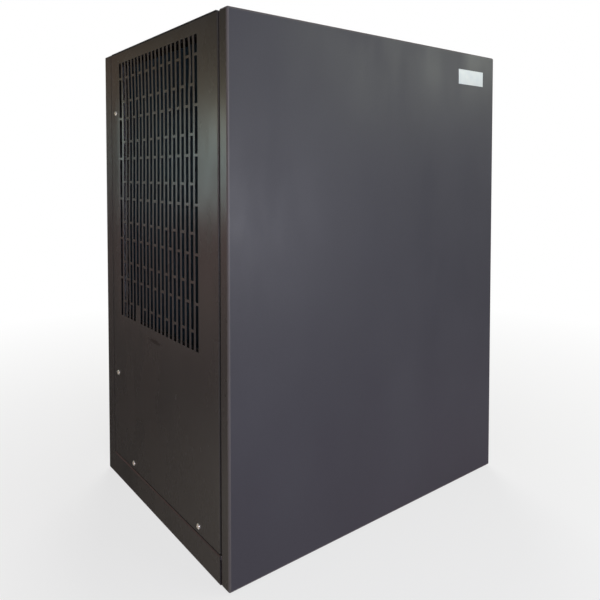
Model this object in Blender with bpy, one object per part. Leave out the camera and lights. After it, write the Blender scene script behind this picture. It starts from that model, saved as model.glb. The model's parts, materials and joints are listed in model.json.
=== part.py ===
"""Air-to-water heat pump in a tall sheet-metal cabinet, in metres with +Z up.

The origin is on the ground under the middle of the cabinet and the front faces -Y.
Air enters through the slotted left side, crosses the evaporator and the fan, and
leaves through the slotted right side. The refrigerant and water circuits stand on
the floor plate below the air chamber.
"""

from math import cos, pi, radians, sin, tan

import bmesh
import bpy
from mathutils import Matrix, Vector

# Cabinet
WIDTH = 0.820
DEPTH = 0.625
HEIGHT = 1.100
PLINTH_HEIGHT = 0.060
SEAT = 0.0003
CUT_OVERRUN = 0.002
ROUND_SIDES = 12
MERGE_DISTANCE = 0.000005

# Sheet metal
PANEL_SHEET = 0.0015
PANEL_BEND = 0.0025
FRAME_SHEET = 0.002
FRAME_BEND = 0.002
BEND_STEPS = 2

# Front panel with its return lips and push-in studs
FRONT_DEPTH = 0.030
FRONT_FOOT = 0.003
FRONT_GAP = 0.005
STUD_LIP = 0.010
STUD_NECK_RADIUS = 0.0025
STUD_BALL_RADIUS = 0.004
STUD_REACH = 0.008
STUD_FROM_TOP = 0.150
STUD_FROM_FLOOR = 0.170
CLIP_COLLAR_RADIUS = 0.009
CLIP_COLLAR_DEPTH = 0.0015
CLIP_BARB_RADIUS = 0.0078
CLIP_TIP_RADIUS = 0.0062
CLIP_BARB_DEPTH = 0.009

# Side panels and their staggered slots
SIDE_DEPTH = 0.018
SIDE_SEAM = 0.001
SLOT_WIDTH = 0.010
SLOT_COLUMNS = 21
SLOT_COLUMN_PITCH = 0.020
SLOT_ROW_PITCH = 0.100
SLOT_BRIDGE = 0.006
SLOT_SHORT = 0.036
SLOT_LONG_END = 0.094
SLOT_FIELD_FROM_TOP = 0.030
SLOT_FIELD_SHIFT = 0.013
BLIND_COLUMN = 6

# Rear panel and its recessed connection plate
REAR_DEPTH = 0.041
REAR_FOOT = 0.001
REAR_GAP = 0.001
RECESS_DEPTH = 0.028
RECESS_LAP = 0.014
RECESS_LEFT = 0.205
RECESS_RIGHT = 0.250
RECESS_BOTTOM = 0.105
RECESS_UNDER_DECK = 0.027

# Frame of corner posts and top rails
POST_SIZE = 0.030
RAIL_SIZE = 0.025
BASE_FLANGE = 0.040
COVER_FLANGE = 0.020

# Deck and drain pan
DECK_HEIGHT = 0.405
DECK_FLANGE = 0.020
PAN_MARGIN = 0.003
PAN_WIDTH = 0.100
PAN_HEIGHT = 0.022
SPOUT_RADIUS = 0.010
SPOUT_WALL = 0.0015
SPOUT_DROP = 0.014
SPOUT_FROM_REAR = 0.069

# Evaporator
COIL_STANDOFF = 0.012
COIL_THICKNESS = 0.066
COIL_FROM_FRONT = 0.036
COIL_FROM_REAR = 0.040
COIL_LIFT = 0.012
COIL_FROM_TOP = 0.008
FIN_PITCH = 0.0125
FIN_THICKNESS = 0.004
FIN_DEPTH = 0.010
END_PLATE = 0.002
END_PLATE_RISE = 0.004
CIRCUITS = 8
TUBE_RADIUS = 0.005
TUBE_ROW_SPACING = 0.032
BEND_REACH = 0.006
TUBE_SIDES = 6
HEADER_RADIUS = 0.010
HEADER_FROM_PLATE = 0.014
GAS_HEADER_LIFT = 0.010
LIQUID_HEADER_LIFT = 0.036
HEADER_OVER = 0.016

# Fan
FAN_PLATE_FROM_SIDE = 0.192
FAN_PLATE_FLANGE = 0.016
FAN_MARGIN = 0.0479
FAN_TIP_GAP = 0.005
RING_SHEET = 0.002
RING_LENGTH = 0.095
RING_MOUTH = 0.015
RING_LIP = 0.016
RING_STEPS = 32
HUB_RADIUS = 0.070
HUB_DEPTH = 0.042
HUB_WALL = 0.004
HUB_FROM_PLATE = 0.012
BLADES = 5
BLADE_THICKNESS = 0.003
BLADE_ROOT_CHORD = 0.085
BLADE_TIP_CHORD = 0.175
BLADE_ROOT_PITCH = 30.0
BLADE_TIP_PITCH = 17.0
BLADE_SWEEP = 16.0
BLADE_CAMBER_SHARE = 0.07
BLADE_ROOT_BITE = 0.002
SHAFT_RADIUS = 0.006
SHAFT_BITE = 0.020
MOTOR_RADIUS = 0.055
MOTOR_NECK_RADIUS = 0.030
MOTOR_NECK_DEPTH = 0.006
BAR_WIDTH = 0.050
BAR_DEPTH = 0.015

# Compressor and its mounts
COMPRESSOR_SIDE_SHARE = 0.22466
COMPRESSOR_FROM_REAR = 0.159
COMPRESSOR_RADIUS = 0.072
COMPRESSOR_UNDER_DECK = 0.0621
COMPRESSOR_DOME = 0.028
COMPRESSOR_TOP_RADIUS = 0.050
COMPRESSOR_SEAM = 0.003
COMPRESSOR_SEAM_HEIGHT = 0.012
FOOT_PLATE = 0.004
FOOT_REACH = 0.098
FOOT_END_RADIUS = 0.018
FEET = 3
GROMMET_RADIUS = 0.014
GROMMET_WAIST_RADIUS = 0.010
GROMMET_HEIGHT = 0.022
DISCHARGE_OFFSET = 0.024
DISCHARGE_STUB = 0.010
TERMINAL_OFFSET = 0.016
TERMINAL_LENGTH = 0.046
TERMINAL_WIDTH = 0.036
TERMINAL_HEIGHT = 0.020
TERMINAL_EDGE = 0.004

# Accumulator and reversing valve
ACCUMULATOR_GAP = 0.018
ACCUMULATOR_RADIUS = 0.038
ACCUMULATOR_FROM_FLOOR = 0.058
ACCUMULATOR_UNDER_DECK = 0.1497
VESSEL_DOME = 0.016
VESSEL_DOME_SHARES = ((0.55, 0.12), (0.87, 0.45))
VESSEL_NECK_RADIUS = 0.008
VESSEL_NECK = 0.010
ELBOW_DROP = 0.024
VALVE_RADIUS = 0.017
VALVE_LENGTH = 0.104
VALVE_CAP_RADIUS = 0.013
VALVE_CAP = 0.006
VALVE_PORT_PITCH = 0.028
VALVE_STUB = 0.012
VALVE_PIPE_GAP = 0.024

# Plate condenser
CONDENSER_STANDOFF = 0.042
CONDENSER_UNDER_DECK = 0.0424
CONDENSER_WIDTH = 0.120
CONDENSER_THICKNESS = 0.080
CONDENSER_END = 0.006
CONDENSER_PLATES = 9
CONDENSER_GROOVE = 0.003
PORT_SPREAD = 0.036
PORT_FROM_END = 0.030
PORT_STUB = 0.015
GAS_PORT_RADIUS = 0.009
WATER_PORT_RADIUS = 0.017

# Receiver, drier and expansion valve
RECEIVER_RADIUS = 0.042
RECEIVER_UNDER_DECK = 0.1174
RECEIVER_FROM_LEFT = 0.242
RECEIVER_FROM_FRONT = 0.106
RECEIVER_PORT_SPREAD = 0.016
DRIER_RADIUS = 0.022
DRIER_HEIGHT_SHARE = 0.33557
DRIER_FROM_RECEIVER = 0.110
DRIER_LIFT_SHARE = 0.30639
DRIER_CONE = 0.018
EXPANSION_FROM_DRIER = 0.090
EXPANSION_RADIUS = 0.011
EXPANSION_BODY = 0.046
EXPANSION_SIDE_STUB = 0.014
EXPANSION_COIL_RADIUS = 0.024
EXPANSION_COIL_HEIGHT = 0.026

# Circulation pump
PUMP_SPACING_SHARE = 0.35231
PUMP_FROM_REAR = 0.118
PUMP_HEIGHT = 0.088
PUMP_SPAN = 0.130
PUMP_PORT_RADIUS = 0.020
PUMP_PORT_LENGTH = 0.016
PUMP_VOLUTE_RADIUS = 0.048
PUMP_VOLUTE_WIDTH = 0.040
PUMP_MOTOR_RADIUS = 0.042
PUMP_MOTOR_LENGTH = 0.062

# Pipes
LINE_RADIUS = 0.005
HOT_LINE_RADIUS = 0.006
COLD_LINE_RADIUS = 0.008
WATER_LINE_RADIUS = 0.014
LINE_BEND = 0.015
HOT_LINE_BEND = 0.013
COLD_LINE_BEND = 0.020
WATER_LINE_BEND = 0.026
DISCHARGE_RISE = 0.030
HOT_RISER_FROM_PORT = 0.032
LIQUID_RISER_FROM_PORT = 0.032
LIQUID_LANE = 0.142
RECEIVER_LANE = 0.035
DRIER_DROP = 0.040
EXPANSION_LANE_SHARE = 0.403
GAS_RISER_FROM_PAN = 0.041
LIQUID_RISER_FROM_PAN = 0.012
GAS_CROSSING = 0.046
LIQUID_CROSSING = 0.0235
WATER_FLOW_LANE = 0.105
WATER_RETURN_SHARE = 0.11488
HOLE_GAP = 0.003

# Water sockets and cable glands
SOCKET_RADIUS = 0.020
SOCKET_BORE_RADIUS = 0.0145
SOCKET_BORE_DEPTH = 0.016
SOCKET_LENGTH = 0.026
SOCKET_FLANGE_RADIUS = 0.026
SOCKET_FLANGE = 0.004
GLAND_RADIUS = 0.010
GLAND_NUT_RADIUS = 0.014
GLAND_NUT = 0.006
GLAND_CAP = 0.012
GLAND_BORE_RADIUS = 0.006
GLAND_PITCH = 0.050
GLAND_FROM_RIGHT = 0.040
GLAND_RISE = 0.045
GLANDS = 2

# Electrical box
BOX_FROM_SIDE = 0.042
BOX_FROM_DRIER = 0.0694
BOX_UNDER_DECK = 0.0424
BOX_DEPTH = 0.110
BOX_FROM_FRONT = 0.012
BOX_SHEET = 0.0015
BOX_COVER_DEPTH = 0.012
SINK_WIDTH_SHARE = 0.625
SINK_HEAD_ROOM = 0.140
SINK_BASE = 0.006
SINK_DEPTH = 0.036
SINK_FINS = 9
SINK_FIN = 0.003
SINK_MARGIN = 0.030
BOARD_THICKNESS = 0.002
BOARD_OVER = 0.020
CAPACITOR_RADIUS = 0.012
CAPACITOR_HEIGHT = 0.032
CAPACITORS = 3
CAPACITOR_PITCH = 0.034
COIL_BLOCK = 0.030
COIL_BLOCK_HEIGHT = 0.022

# Places worked out from the sizes above
HALF_WIDTH = WIDTH / 2
FRONT = -DEPTH / 2
REAR = DEPTH / 2
SIDE_FRONT = FRONT + FRONT_DEPTH + FRONT_GAP
SIDE_REAR = REAR - REAR_DEPTH - REAR_GAP
COVER_UNDERSIDE = HEIGHT - PANEL_SHEET
RECESS_TOP = DECK_HEIGHT - RECESS_UNDER_DECK
SLOTTED_HEIGHT = HEIGHT - SLOT_FIELD_FROM_TOP - DECK_HEIGHT
SLOT_BRIDGES = 1 + int((SLOTTED_HEIGHT - SLOT_SHORT - SLOT_BRIDGE - SLOT_LONG_END) / SLOT_ROW_PITCH)
FRAME_HALF = HALF_WIDTH - SIDE_DEPTH - SEAT
FRAME_WIDTH = 2 * FRAME_HALF
FRAME_FRONT = SIDE_FRONT + PANEL_SHEET + SEAT
FRAME_REAR = SIDE_REAR - PANEL_SHEET - SEAT
FLOOR_TOP = PLINTH_HEIGHT + SEAT + FRAME_SHEET
STAND = FLOOR_TOP + SEAT
RAIL_TOP = COVER_UNDERSIDE - SEAT
RAIL_BOTTOM = RAIL_TOP - RAIL_SIZE
INNER_HALF = FRAME_HALF - FRAME_SHEET - SEAT
INNER_FRONT = FRAME_FRONT + FRAME_SHEET + SEAT
INNER_REAR = FRAME_REAR - FRAME_SHEET - SEAT
STUD_X = FRAME_HALF - POST_SIZE / 2
FRONT_RETURN = HALF_WIDTH - STUD_X + STUD_LIP

PAN_LEFT = -INNER_HALF + PAN_MARGIN
PAN_RIGHT = PAN_LEFT + PAN_WIDTH
PAN_FLOOR = DECK_HEIGHT + SEAT
COIL_LEFT = -FRAME_HALF + COIL_STANDOFF
COIL_MIDDLE = COIL_LEFT + COIL_THICKNESS / 2
COIL_FRONT = FRAME_FRONT + COIL_FROM_FRONT
COIL_REAR = FRAME_REAR - COIL_FROM_REAR
COIL_BOTTOM = PAN_FLOOR + PANEL_SHEET + COIL_LIFT
COIL_TOP = RAIL_BOTTOM - COIL_FROM_TOP
GAS_TUBE_X = COIL_MIDDLE + TUBE_ROW_SPACING / 2
LIQUID_TUBE_X = COIL_MIDDLE - TUBE_ROW_SPACING / 2
HEADER_Y = COIL_REAR + SEAT + END_PLATE + HEADER_FROM_PLATE

FAN_PLATE_X = FRAME_HALF - FAN_PLATE_FROM_SIDE
FAN_Y = (INNER_FRONT + INNER_REAR) / 2
FAN_Z = (DECK_HEIGHT + RAIL_BOTTOM) / 2
FAN_RADIUS = min(INNER_REAR - INNER_FRONT, RAIL_BOTTOM - DECK_HEIGHT) / 2 - FAN_MARGIN
RING_RADIUS = FAN_RADIUS + FAN_TIP_GAP
MOUTH_RADIUS = RING_RADIUS + RING_MOUTH
RING_START = FAN_PLATE_X + PANEL_SHEET + SEAT
RING_END = RING_START + RING_LENGTH
BAR_START = RING_END + SEAT
HUB_START = RING_START + HUB_FROM_PLATE
MOTOR_START = HUB_START + HUB_DEPTH + MOTOR_NECK_DEPTH

COMPRESSOR_X = FRAME_HALF - FRAME_WIDTH * COMPRESSOR_SIDE_SHARE
COMPRESSOR_Y = FRAME_REAR - COMPRESSOR_FROM_REAR
COMPRESSOR_BOTTOM = STAND + GROMMET_HEIGHT + SEAT
COMPRESSOR_TOP = DECK_HEIGHT - COMPRESSOR_UNDER_DECK
COMPRESSOR_HEIGHT = COMPRESSOR_TOP - COMPRESSOR_BOTTOM
ACCUMULATOR_X = COMPRESSOR_X - COMPRESSOR_RADIUS - ACCUMULATOR_GAP - ACCUMULATOR_RADIUS
ACCUMULATOR_BOTTOM = FLOOR_TOP + ACCUMULATOR_FROM_FLOOR
ACCUMULATOR_TOP = DECK_HEIGHT - ACCUMULATOR_UNDER_DECK
ACCUMULATOR_HEIGHT = ACCUMULATOR_TOP - ACCUMULATOR_BOTTOM
VALVE_PORTS_Z = ACCUMULATOR_TOP + VESSEL_NECK + VALVE_PIPE_GAP
VALVE_Z = VALVE_PORTS_Z + VALVE_STUB + VALVE_RADIUS
CONDENSER_LEFT = -FRAME_HALF + CONDENSER_STANDOFF
CONDENSER_RIGHT = CONDENSER_LEFT + CONDENSER_THICKNESS
CONDENSER_Y = COMPRESSOR_Y - PORT_SPREAD
CONDENSER_LENGTH = DECK_HEIGHT - CONDENSER_UNDER_DECK - STAND
CONDENSER_Z = STAND + CONDENSER_LENGTH / 2
PORT_RISE = CONDENSER_LENGTH / 2 - PORT_FROM_END
RECEIVER_X = -FRAME_HALF + RECEIVER_FROM_LEFT
RECEIVER_Y = FRAME_FRONT + RECEIVER_FROM_FRONT
RECEIVER_HEIGHT = DECK_HEIGHT - RECEIVER_UNDER_DECK - STAND
RECEIVER_TOP = STAND + RECEIVER_HEIGHT + VESSEL_NECK
DRIER_X = RECEIVER_X + DRIER_FROM_RECEIVER
SERVICE_HEIGHT = DECK_HEIGHT - FLOOR_TOP
DRIER_BOTTOM = FLOOR_TOP + SERVICE_HEIGHT * DRIER_LIFT_SHARE
DRIER_HEIGHT = SERVICE_HEIGHT * DRIER_HEIGHT_SHARE
EXPANSION_Y = RECEIVER_Y + EXPANSION_FROM_DRIER
EXPANSION_SIDE_Z = DRIER_BOTTOM + EXPANSION_BODY / 2
PUMP_X = COMPRESSOR_X - FRAME_WIDTH * PUMP_SPACING_SHARE
PUMP_Y = FRAME_REAR - PUMP_FROM_REAR
PUMP_Z = FLOOR_TOP + PUMP_HEIGHT
WATER_FLOW_X = CONDENSER_RIGHT + PORT_STUB + WATER_FLOW_LANE
RECESS_FRONT = REAR - PANEL_SHEET - SEAT - RECESS_DEPTH
BOX_RIGHT = FRAME_HALF - BOX_FROM_SIDE
BOX_LEFT = DRIER_X + BOX_FROM_DRIER
BOX_HEIGHT = DECK_HEIGHT - BOX_UNDER_DECK - STAND
SINK_WIDTH = (BOX_RIGHT - BOX_LEFT) * SINK_WIDTH_SHARE
SINK_HEIGHT = BOX_HEIGHT - SINK_HEAD_ROOM
BOX_FRONT = INNER_FRONT + BOX_FROM_FRONT
BOX_REAR = BOX_FRONT + BOX_DEPTH


def clear_scene():
    """Start from an empty scene."""
    for item in list(bpy.data.objects):
        bpy.data.objects.remove(item, do_unlink=True)


def finish_of(name, colour, roughness, metallic=0.0):
    """Principled finish with one colour."""
    finish = bpy.data.materials.new(name)
    finish.use_nodes = True
    shader = finish.node_tree.nodes["Principled BSDF"]
    shader.inputs["Base Color"].default_value = (*colour, 1.0)
    shader.inputs["Roughness"].default_value = roughness
    shader.inputs["Metallic"].default_value = metallic
    finish.diffuse_color = (*colour, 1.0)
    return finish


def make_finishes():
    """Every finish on the product, by name."""
    return {
        "paint": finish_of("graphite_powder_coat", (0.075, 0.074, 0.082), 0.42),
        "zinc": finish_of("galvanised_steel", (0.56, 0.58, 0.60), 0.38, 1.0),
        "fin": finish_of("blue_coated_fin", (0.10, 0.27, 0.38), 0.45, 0.4),
        "copper": finish_of("copper", (0.72, 0.38, 0.24), 0.30, 1.0),
        "brass": finish_of("brass", (0.72, 0.56, 0.28), 0.32, 1.0),
        "steel": finish_of("stainless_steel", (0.62, 0.61, 0.59), 0.28, 1.0),
        "black": finish_of("black_enamel", (0.02, 0.02, 0.022), 0.35),
        "plastic": finish_of("black_plastic", (0.03, 0.03, 0.032), 0.55),
        "rubber": finish_of("rubber", (0.025, 0.025, 0.025), 0.80),
        "motor": finish_of("cast_aluminium", (0.42, 0.43, 0.44), 0.50, 0.9),
        "board": finish_of("circuit_board", (0.03, 0.16, 0.07), 0.45),
        "pump": finish_of("pump_enamel", (0.10, 0.12, 0.14), 0.40),
        "receiver": finish_of("receiver_enamel", (0.05, 0.05, 0.055), 0.38),
    }


def add_object(name, data, place, finish):
    """Link an object at its place with its finish."""
    item = bpy.data.objects.new(name, data)
    item.location = place
    bpy.context.scene.collection.objects.link(item)
    if finish is not None:
        data.materials.append(finish)
    return item


def add_mesh(name, shape, place, finish, smooth=False):
    """Turn a bmesh whose faces close into an object."""
    bmesh.ops.recalc_face_normals(shape, faces=shape.faces)
    mesh = bpy.data.meshes.new(name)
    shape.to_mesh(mesh)
    shape.free()
    if smooth:
        mesh.shade_smooth()
        mesh.set_sharp_from_angle(angle=radians(35.0))
    return add_object(name, mesh, place, finish)


def hide_tool(tool):
    """Mark an object as a boolean tool."""
    tool.hide_render = True
    tool.display_type = "WIRE"
    return tool


def combine(item, tool, operation, solver):
    """Boolean with a tool that stays out of the product."""
    change = item.modifiers.new(f"{operation.lower()}_{tool.name}", "BOOLEAN")
    change.operation = operation
    change.solver = solver
    change.object = hide_tool(tool)


def subtract(item, tool, solver="EXACT"):
    combine(item, tool, "DIFFERENCE", solver)


def unite(item, tool, solver="EXACT"):
    combine(item, tool, "UNION", solver)


def add_box(shape, low, high):
    """One box inside a bmesh, between two corners."""
    low, high = Vector(low), Vector(high)
    size = Matrix.Diagonal((*(high - low), 1.0))
    bmesh.ops.create_cube(shape, size=1.0, matrix=Matrix.Translation((low + high) / 2) @ size)


def block(name, low, high, finish=None):
    """Rectangular block between two corners."""
    low, high = Vector(low), Vector(high)
    centre = (low + high) / 2
    shape = bmesh.new()
    add_box(shape, low - centre, high - centre)
    return add_mesh(name, shape, centre, finish)


def arc_corner(before, corner, after, radius, steps):
    """Points of the arc that rounds one corner."""
    inward = (corner - before).normalized()
    outward = (after - corner).normalized()
    turn = inward.angle(outward)
    if turn < radians(1.0) or radius <= 0.0:
        return [corner]
    reach = radius * tan(turn / 2)
    start, end = corner - inward * reach, corner + outward * reach
    centre = corner + (outward - inward).normalized() * radius / cos(turn / 2)
    points = []
    for step in range(steps + 1):
        share = step / steps
        spoke = (start - centre) * sin((1 - share) * turn) + (end - centre) * sin(share * turn)
        points.append(centre + spoke / sin(turn))
    return points


def rounded(path, radii, steps):
    """An open path with its inner corners rounded."""
    points = [path[0]]
    for index in range(1, len(path) - 1):
        points += arc_corner(path[index - 1], path[index], path[index + 1], radii[index - 1], steps)
    return points + [path[-1]]


def folded(corners, sheet, bend):
    """Outline of a folded strip that lies on the left of the path through its corners."""
    path = [Vector(corner) for corner in corners]
    runs = [(after - before).normalized() for before, after in zip(path, path[1:])]
    sides = [Vector((-run.y, run.x)) for run in runs]
    left_turns = [a.x * b.y - a.y * b.x > 0 for a, b in zip(runs, runs[1:])]
    offset = [path[0] + sides[0] * sheet]
    for corner, before, after in zip(path[1:-1], sides, sides[1:]):
        offset.append(corner + (before + after) * sheet / (1 + before.dot(after)))
    offset.append(path[-1] + sides[-1] * sheet)
    outer = [bend + sheet if left else bend for left in left_turns]
    inner = [bend if left else bend + sheet for left in left_turns]
    near = rounded(path, outer, BEND_STEPS)
    far = rounded(offset, inner, BEND_STEPS)
    return near + far[::-1]


AXIS_TURNS = {
    "X": Matrix(((0, 0, 1), (1, 0, 0), (0, 1, 0))),
    "Y": Matrix(((1, 0, 0), (0, 0, 1), (0, 1, 0))),
    "Z": Matrix(((1, 0, 0), (0, 1, 0), (0, 0, 1))),
}


def prism(name, outline, length, place, axis, finish=None):
    """Outline in the plane across an axis, extruded along it from its place."""
    shape = bmesh.new()
    turn = AXIS_TURNS[axis]
    corners = [shape.verts.new(turn @ Vector((*point, 0.0))) for point in outline]
    face = shape.faces.new(corners)
    grown = bmesh.ops.extrude_face_region(shape, geom=[face])
    moved = [part for part in grown["geom"] if isinstance(part, bmesh.types.BMVert)]
    bmesh.ops.translate(shape, verts=moved, vec=turn @ Vector((0.0, 0.0, length)))
    return add_mesh(name, shape, place, finish)


def turned(name, profile, place, axis, finish=None, steps=24, closed=False):
    """Profile of (radius, height) points turned about an axis through its place."""
    shape = bmesh.new()
    turn = AXIS_TURNS[axis]
    points = [shape.verts.new(turn @ Vector((radius, 0.0, height))) for radius, height in profile]
    pairs = list(zip(points, points[1:]))
    if closed:
        pairs.append((points[-1], points[0]))
    edges = [shape.edges.new(pair) for pair in pairs]
    bmesh.ops.spin(
        shape, geom=points + edges, cent=(0, 0, 0), axis=turn @ Vector((0, 0, 1)),
        angle=2 * pi, steps=steps, use_merge=True,
    )
    bmesh.ops.remove_doubles(shape, verts=shape.verts, dist=MERGE_DISTANCE)
    return add_mesh(name, shape, place, finish, smooth=True)


def pipe(name, corners, radius, bend, finish):
    """Round pipe through a list of corners, with bent elbows."""
    path = [Vector(corner) for corner in corners]
    route = rounded(path, [bend] * (len(path) - 2), 3)
    curve = bpy.data.curves.new(name, "CURVE")
    curve.dimensions = "3D"
    curve.bevel_depth = radius
    curve.bevel_resolution = 2
    curve.use_fill_caps = True
    line = curve.splines.new("POLY")
    line.points.add(len(route) - 1)
    for point, spot in zip(line.points, route):
        point.co = (*(spot - path[0]), 1.0)
    return add_object(name, curve, path[0], finish)


def add_tube(shape, route, radius, across):
    """Closed tube along a planar route inside a bmesh; across is the plane's normal."""
    rings = []
    for index, spot in enumerate(route):
        before, after = route[max(index - 1, 0)], route[min(index + 1, len(route) - 1)]
        run = (after - before).normalized()
        side = across.cross(run)
        ring = []
        for step in range(TUBE_SIDES):
            angle = 2 * pi * step / TUBE_SIDES
            ring.append(shape.verts.new(spot + (across * cos(angle) + side * sin(angle)) * radius))
        rings.append(ring)
    for first, second in zip(rings, rings[1:]):
        for step in range(TUBE_SIDES):
            after = (step + 1) % TUBE_SIDES
            shape.faces.new((first[step], first[after], second[after], second[step]))
    shape.faces.new(rings[0])
    shape.faces.new(rings[-1])


def tray(name, low, high, open_side, finish, sheet=PANEL_SHEET, lip=0.0):
    """Folded tray: a box of sheet metal that is open on one side, with optional return lips."""
    low, high = Vector(low), Vector(high)
    centre = (low + high) / 2
    shape = bmesh.new()
    add_box(shape, low - centre, high - centre)
    shape.normal_update()
    side = Vector(open_side)
    mouth = max(shape.faces, key=lambda face: face.normal.dot(side))
    if lip > 0.0:
        bmesh.ops.inset_region(
            shape, faces=[mouth], thickness=lip, use_boundary=True, use_even_offset=True,
        )
    bmesh.ops.delete(shape, geom=[mouth], context="FACES")
    mesh = bpy.data.meshes.new(name)
    shape.to_mesh(mesh)
    shape.free()
    item = add_object(name, mesh, centre, finish)
    folds = item.modifiers.new("folds", "BEVEL")
    folds.width = PANEL_BEND
    folds.segments = BEND_STEPS
    folds.limit_method = "ANGLE"
    folds.angle_limit = radians(40.0)
    wall = item.modifiers.new("sheet", "SOLIDIFY")
    wall.thickness = sheet
    wall.offset = -1.0
    wall.use_even_offset = True
    return item


def hole(name, radius, place, axis, depth):
    """Round cutter that runs through a sheet on both sides of its place."""
    profile = [(0.0, -depth), (radius, -depth), (radius, depth), (0.0, depth)]
    return turned(name, profile, place, axis, steps=ROUND_SIDES)


def make_base(finishes):
    """Plinth channels and the floor plate."""
    channel = folded(
        [(BASE_FLANGE, PLINTH_HEIGHT), (0.0, PLINTH_HEIGHT), (0.0, 0.0), (BASE_FLANGE, 0.0)],
        FRAME_SHEET, FRAME_BEND,
    )
    long_side = SIDE_REAR - SIDE_FRONT
    for side, hand in (("left", 1), ("right", -1)):
        outline = [(x * hand, z) for x, z in channel]
        place = (-HALF_WIDTH * hand, SIDE_FRONT, 0.0)
        prism(f"base_channel_{side}", outline, long_side, place, "Y", finishes["paint"])
    reach = HALF_WIDTH - BASE_FLANGE - SEAT
    for end, hand, web in (("front", 1, FRAME_FRONT), ("rear", -1, FRAME_REAR)):
        outline = [(y * hand, z) for y, z in channel]
        prism(f"base_channel_{end}", outline, 2 * reach, (-reach, web, 0.0), "X", finishes["zinc"])
    block(
        "floor_plate",
        (-FRAME_HALF, FRAME_FRONT, PLINTH_HEIGHT + SEAT),
        (FRAME_HALF, FRAME_REAR, FLOOR_TOP),
        finishes["zinc"],
    )


def make_frame(finishes):
    """Corner posts on the floor plate and the rails on top of them."""
    post = folded([(0.0, POST_SIZE), (0.0, 0.0), (POST_SIZE, 0.0)], FRAME_SHEET, FRAME_BEND)
    height = RAIL_BOTTOM - SEAT - STAND
    for end, y, depth_hand in (("front", FRAME_FRONT, 1), ("rear", FRAME_REAR, -1)):
        for side, hand in (("left", 1), ("right", -1)):
            outline = [(x * hand, y_in * depth_hand) for x, y_in in post]
            corner = (-FRAME_HALF * hand, y, STAND)
            item = prism(f"post_{end}_{side}", outline, height, corner, "Z", finishes["zinc"])
            if end == "front":
                add_clips(item, side, -STUD_X * hand)
    rail = folded([(RAIL_SIZE, 0.0), (0.0, 0.0), (0.0, -RAIL_SIZE)], FRAME_SHEET, FRAME_BEND)
    for side, hand in (("left", 1), ("right", -1)):
        outline = [(x * hand, z) for x, z in rail]
        place = (-FRAME_HALF * hand, FRAME_FRONT + PANEL_BEND, RAIL_TOP)
        length = FRAME_REAR - FRAME_FRONT - 2 * PANEL_BEND
        prism(f"top_rail_{side}", outline, length, place, "Y", finishes["zinc"])


def add_clips(post, side, x):
    """Press-in clips of one front post, with a bore for each stud of the front panel."""
    back = FRAME_SHEET + CLIP_BARB_DEPTH
    clip = [
        (0.0, -CLIP_COLLAR_DEPTH), (CLIP_COLLAR_RADIUS, -CLIP_COLLAR_DEPTH),
        (CLIP_COLLAR_RADIUS, FRAME_SHEET / 2), (CLIP_BARB_RADIUS, FRAME_SHEET / 2),
        (CLIP_BARB_RADIUS, FRAME_SHEET * 3 / 2), (CLIP_TIP_RADIUS, back), (0.0, back),
    ]
    for level, height in zip(("lower", "upper"), stud_heights()):
        place = (x, FRAME_FRONT, height)
        unite(post, turned(f"clip_{level}_{side}", clip, place, "Y", steps=ROUND_SIDES), "MANIFOLD")
        bore = STUD_BALL_RADIUS + SEAT
        subtract(post, hole(f"clip_bore_{level}_{side}", bore, place, "Y", 2 * back), "MANIFOLD")


def stud_heights():
    """Heights of the lower and upper front studs."""
    return (FLOOR_TOP + STUD_FROM_FLOOR, HEIGHT - STUD_FROM_TOP)


def make_front_panel(finishes):
    """Plain front panel with return lips and four studs for the clips on the front posts."""
    lip_face = FRONT + FRONT_DEPTH
    panel = tray(
        "front_panel", (-HALF_WIDTH, FRONT, FRONT_FOOT), (HALF_WIDTH, lip_face, HEIGHT),
        (0, 1, 0), finishes["paint"], lip=FRONT_RETURN,
    )
    length = FRAME_FRONT + STUD_REACH - lip_face
    ball = length - STUD_BALL_RADIUS
    neck = ball - (STUD_BALL_RADIUS ** 2 - STUD_NECK_RADIUS ** 2) ** 0.5
    stud = [(0.0, -PANEL_SHEET / 2), (STUD_NECK_RADIUS, -PANEL_SHEET / 2), (STUD_NECK_RADIUS, neck)]
    for angle in (-15.0, 15.0, 50.0):
        spoke = radians(angle)
        stud.append((STUD_BALL_RADIUS * cos(spoke), ball + STUD_BALL_RADIUS * sin(spoke)))
    stud.append((0.0, length))
    for level, height in zip(("lower", "upper"), stud_heights()):
        for side, x in (("left", -STUD_X), ("right", STUD_X)):
            tool = turned(f"stud_{level}_{side}", stud, (x, lip_face, height), "Y", steps=ROUND_SIDES)
            unite(panel, tool)


def slot_field():
    """Top and bottom of the slotted field."""
    top = HEIGHT - SLOT_FIELD_FROM_TOP
    height = SLOT_SHORT + (SLOT_BRIDGES - 1) * SLOT_ROW_PITCH + SLOT_BRIDGE + SLOT_LONG_END
    return top, top - height


def column_slots(column):
    """Lowest and highest end of each slot in one column, counted from the rear."""
    top, bottom = slot_field()
    first = SLOT_SHORT + SLOT_BRIDGE / 2
    if column % 2:
        bridges = [top - first - row * SLOT_ROW_PITCH for row in range(SLOT_BRIDGES)]
    else:
        bridges = [bottom + first + row * SLOT_ROW_PITCH for row in range(SLOT_BRIDGES)][::-1]
    highs = [top] + [bridge - SLOT_BRIDGE / 2 for bridge in bridges]
    lows = [bridge + SLOT_BRIDGE / 2 for bridge in bridges] + [bottom]
    slots = list(zip(lows, highs))
    return slots[:-1] if column == BLIND_COLUMN else slots


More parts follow.
